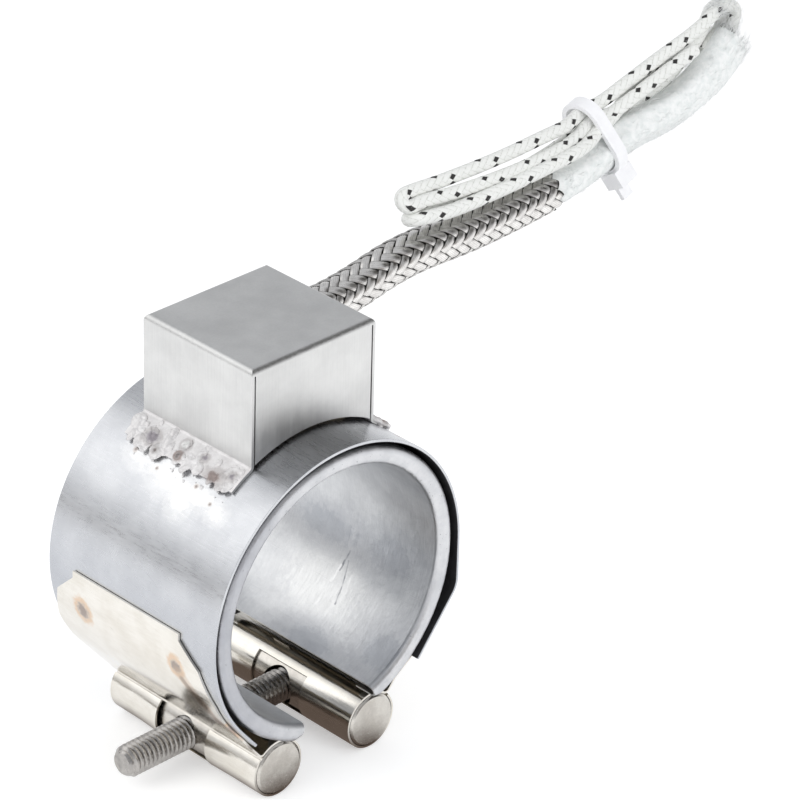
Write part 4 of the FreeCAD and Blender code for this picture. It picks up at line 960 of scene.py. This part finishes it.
def glass_cloth():
    material, tree, shader = new_material("glass sleeve")
    weave = node(tree, "Group", node_tree=BRAID_WEAVE, Map=map_place(tree, "wrap"), Carriers=24.0, Turns=45.0)
    fuzz = cloudy(tree, object_place(tree), 900.0, 5.0)
    colour = mix(tree, ramp(tree, fuzz, 0.3, 0.7), (0.80, 0.83, 0.82), (0.92, 0.93, 0.92))
    feed(tree, shader["Base Color"], colour)
    feed(tree, shader["Roughness"], 0.85)
    lift = maths(tree, "MULTIPLY_ADD", weave.outputs["Relief"], 0.6, fuzz)
    feed(tree, shader["Normal"], bumped(tree, lift, 0.35, 0.0001))
    return material


def glass_fluff(name, line, hairs, radius_at, seed):
    """Broken glass filaments lying along a line, longer at its far end."""
    chance = random.Random(seed)
    draw, frames = chance.uniform, line_frames(line)
    places, faces = [], []
    for hair in range(hairs):
        at_tip = hair < hairs * 0.3
        index = len(frames) - 1 - int(abs(chance.gauss(0, 3))) if at_tip else chance.randrange(6, len(frames))
        point, side, up = frames[max(0, index)]
        turn = draw(0, 2 * math.pi)
        out = side * math.cos(turn) + up * math.sin(turn)
        ahead = side.cross(up) * (1 if at_tip or chance.random() < 0.7 else -1)
        across = out.cross(ahead)
        length = draw(0.0012, 0.0032) if at_tip else draw(0.0010, 0.0026)
        lean = draw(-0.5, 0.5)
        rise = draw(0.05, 0.42) if not at_tip else draw(-0.25, 0.5)
        root = point + out * (radius_at(index * SOFT_STEP, turn) - 0.0002)
        thick = draw(0.00003, 0.00006)
        start = len(places)
        for step in range(4):
            t = step / 3
            centre = root + (ahead * t + across * lean * t * t + out * rise * math.sin(t * 2.2)) * length
            radius = thick * (1.0 - 0.6 * t)
            for spoke in range(3):
                angle = 2 * math.pi * spoke / 3
                places.append(centre + (out * math.cos(angle) + across * math.sin(angle)) * radius)
        for step in range(3):
            for spoke in range(3):
                a, b = start + step * 3 + spoke, start + step * 3 + (spoke + 1) % 3
                faces.append((a, b, b + 3, a + 3))
        faces.append((start + 2, start + 1, start))
        faces.append((start + 9, start + 10, start + 11))
    piece = mesh_piece(name, places, faces)
    take(piece)
    bpy.ops.object.shade_smooth()
    return piece


fluff = glass_fluff("sleeve_fluff", sleeve_line, 1500, sleeve_radius, 5)
turn_line = [point - Vector((0.0005, 0, 0))
             for point in route_line(LEAD_ROUTES["lead_one"][:7], SOFT_STEP)[:30]]
turn_fluff = glass_fluff("turn_fluff", turn_line, 520, lambda s, turn: LEAD_RADIUS + 0.00025, 6)
glass_hair = sheet_metal("glass filament", (0.84, 0.86, 0.85), (0.95, 0.95, 0.95), (0.5, 0.7), blotch=600.0,
                         metallic=0.0)[0]
for tuft in (fluff, turn_fluff):
    dressed(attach(tuft, "heater"), glass_hair)
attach(glass_sleeve, "heater")
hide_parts("glass_sleeve")
dressed(glass_sleeve, glass_cloth())


# --- Cable tie ---------------------------------------------------------------
# A white nylon tie pulled round the sleeve and the folded leads, with its tail cut off
# at the head.

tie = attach(merged_copy("cable_tie", "nylon_tie", soften=0.0002), "heater")
nylon = sheet_metal("tie nylon", (0.90, 0.90, 0.92), (0.96, 0.96, 0.97), (0.35, 0.45), blotch=500.0,
                    grain=900.0, bump=0.05, metallic=0.0)[0]
dressed(tie, nylon)


# --- Studio ------------------------------------------------------------------
# A pale floor just under the straps, with a painted shadow under the heater that only
# reflections see, a white tent with dark flags that bright metal mirrors, two large lamps for shape, and the
# camera.

FLOOR_Z = min(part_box("left_strap")[0].z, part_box("right_strap")[0].z) - 0.0001
bpy.ops.mesh.primitive_plane_add(size=6.0, location=(0, 0, FLOOR_Z))
floor = bpy.context.active_object
floor.name = "floor"


def is_ray(tree, *kinds):
    """1 for rays of these kinds, 0 for others."""
    outputs = node(tree, "LightPath").outputs
    found = outputs[f"Is {kinds[0]} Ray"]
    for kind in kinds[1:]:
        found = maths(tree, "MAXIMUM", found, outputs[f"Is {kind} Ray"])
    return found


def mixed(tree, share, first, second):
    return node(tree, "MixShader", share, first, second).outputs[0]


floor_paint, tree, shader = new_material("pale floor")
tree.nodes.clear()
matt = node(tree, "BsdfDiffuse", Color=(0.80, 0.80, 0.80)).outputs[0]
glow = node(tree, "Emission", Color=(1, 1, 1), Strength=0.42).outputs[0]
# Painted shadow: reflections see a dark patch on the floor under the heater, standing in for the shade where it
# stands.
painted_contact_shadow = node(tree, "Emission", Color=(0.13, 0.10, 0.085), Strength=1.0).outputs[0]
spot = axes(tree, object_place(tree))
under = times(tree, ramp(tree, size_of(tree, spot["X"]), 0.012, 0.020, 1.0, 0.0),
              ramp(tree, size_of(tree, spot["Y"]), 0.018, 0.028, 1.0, 0.0))
bright = node(tree, "AddShader", matt, glow).outputs[0]
mirrored = mixed(tree, times(tree, under, is_ray(tree, "Glossy")), bright, painted_contact_shadow)
node(tree, "OutputMaterial", mixed(tree, is_ray(tree, "Camera", "Glossy", "Transmission"), matt, mirrored))
floor.data.materials.append(floor_paint)

world = bpy.data.worlds.new("studio")
scene.world = world
world.use_nodes = True
tree = world.node_tree
tree.nodes.clear()
facing = node(tree, "TexCoord").outputs["Generated"]


def towards(direction, wide, full):
    """1 in the directions near one direction, 0 away from it."""
    along = vectors(tree, "DOT_PRODUCT", facing, Vector(direction).normalized())["Value"]
    return ramp(tree, along, math.cos(math.radians(wide)), math.cos(math.radians(full)))


def sky(colour, strength=1.0):
    return node(tree, "Background", Color=colour, Strength=strength).outputs[0]


height = axes(tree, facing)["Z"]
tent = mix(tree, ramp(tree, height, 0.0, 0.22), (1, 1, 1), (0.60, 0.61, 0.63))
tent = mix(tree, towards((-0.52, 0.61, 0.60), 33, 8), tent, (1.5, 1.5, 1.5))
low_band = ramp(tree, size_of(tree, maths(tree, "ADD", height, 0.08)), 0.06, 0.22, 1.0, 0.0)
shaded = times(tree, towards((-0.45, 0.80, 0.0), 52, 26), low_band)
for share, grey in (
    (shaded, (0.16, 0.135, 0.115)),
    (towards((0.62, -0.47, 0.60), 34, 16), (0.05, 0.045, 0.04)),
    (towards((-0.10, -0.95, 0.25), 22, 12), (0.30, 0.27, 0.25)),
):
    tent = mix(tree, share, tent, grey)
plain = mixed(tree, is_ray(tree, "Glossy", "Transmission"), sky((0.97, 0.98, 1.0), 0.74), sky(tent))
node(tree, "OutputWorld", mixed(tree, is_ray(tree, "Camera"), plain, sky((1, 1, 1))))

for name, place, power in (("key", (0.10, -0.85, 0.35), 2.6), ("fill", (-0.80, 0.20, 0.55), 2.4)):
    light = bpy.data.lights.new(name, "AREA")
    light.shape, light.size, light.energy = "SQUARE", 0.5, power
    holder = placed(name, light)
    holder.location = place
    holder.visible_glossy = False
    holder.rotation_euler = (Vector((0, 0, 0.01)) - holder.location).to_track_quat("-Z", "Y").to_euler()

camera = placed("camera", bpy.data.cameras.new("camera"))
scene.camera = camera
camera.data.sensor_width = 36.0
camera.data.lens = 193.69
camera.data.clip_start, camera.data.clip_end = 0.05, 20.0
right, up, back = (0.71561, -0.69807, 0.02467), (0.32731, 0.36632, 0.87102), (-0.61707, -0.61524, 0.49063)
camera.matrix_world = (Matrix.Translation((-0.432335, -0.465138, 0.387534))
                       @ Matrix((right, up, back)).transposed().to_4x4())
scene.view_settings.view_transform = "Standard"
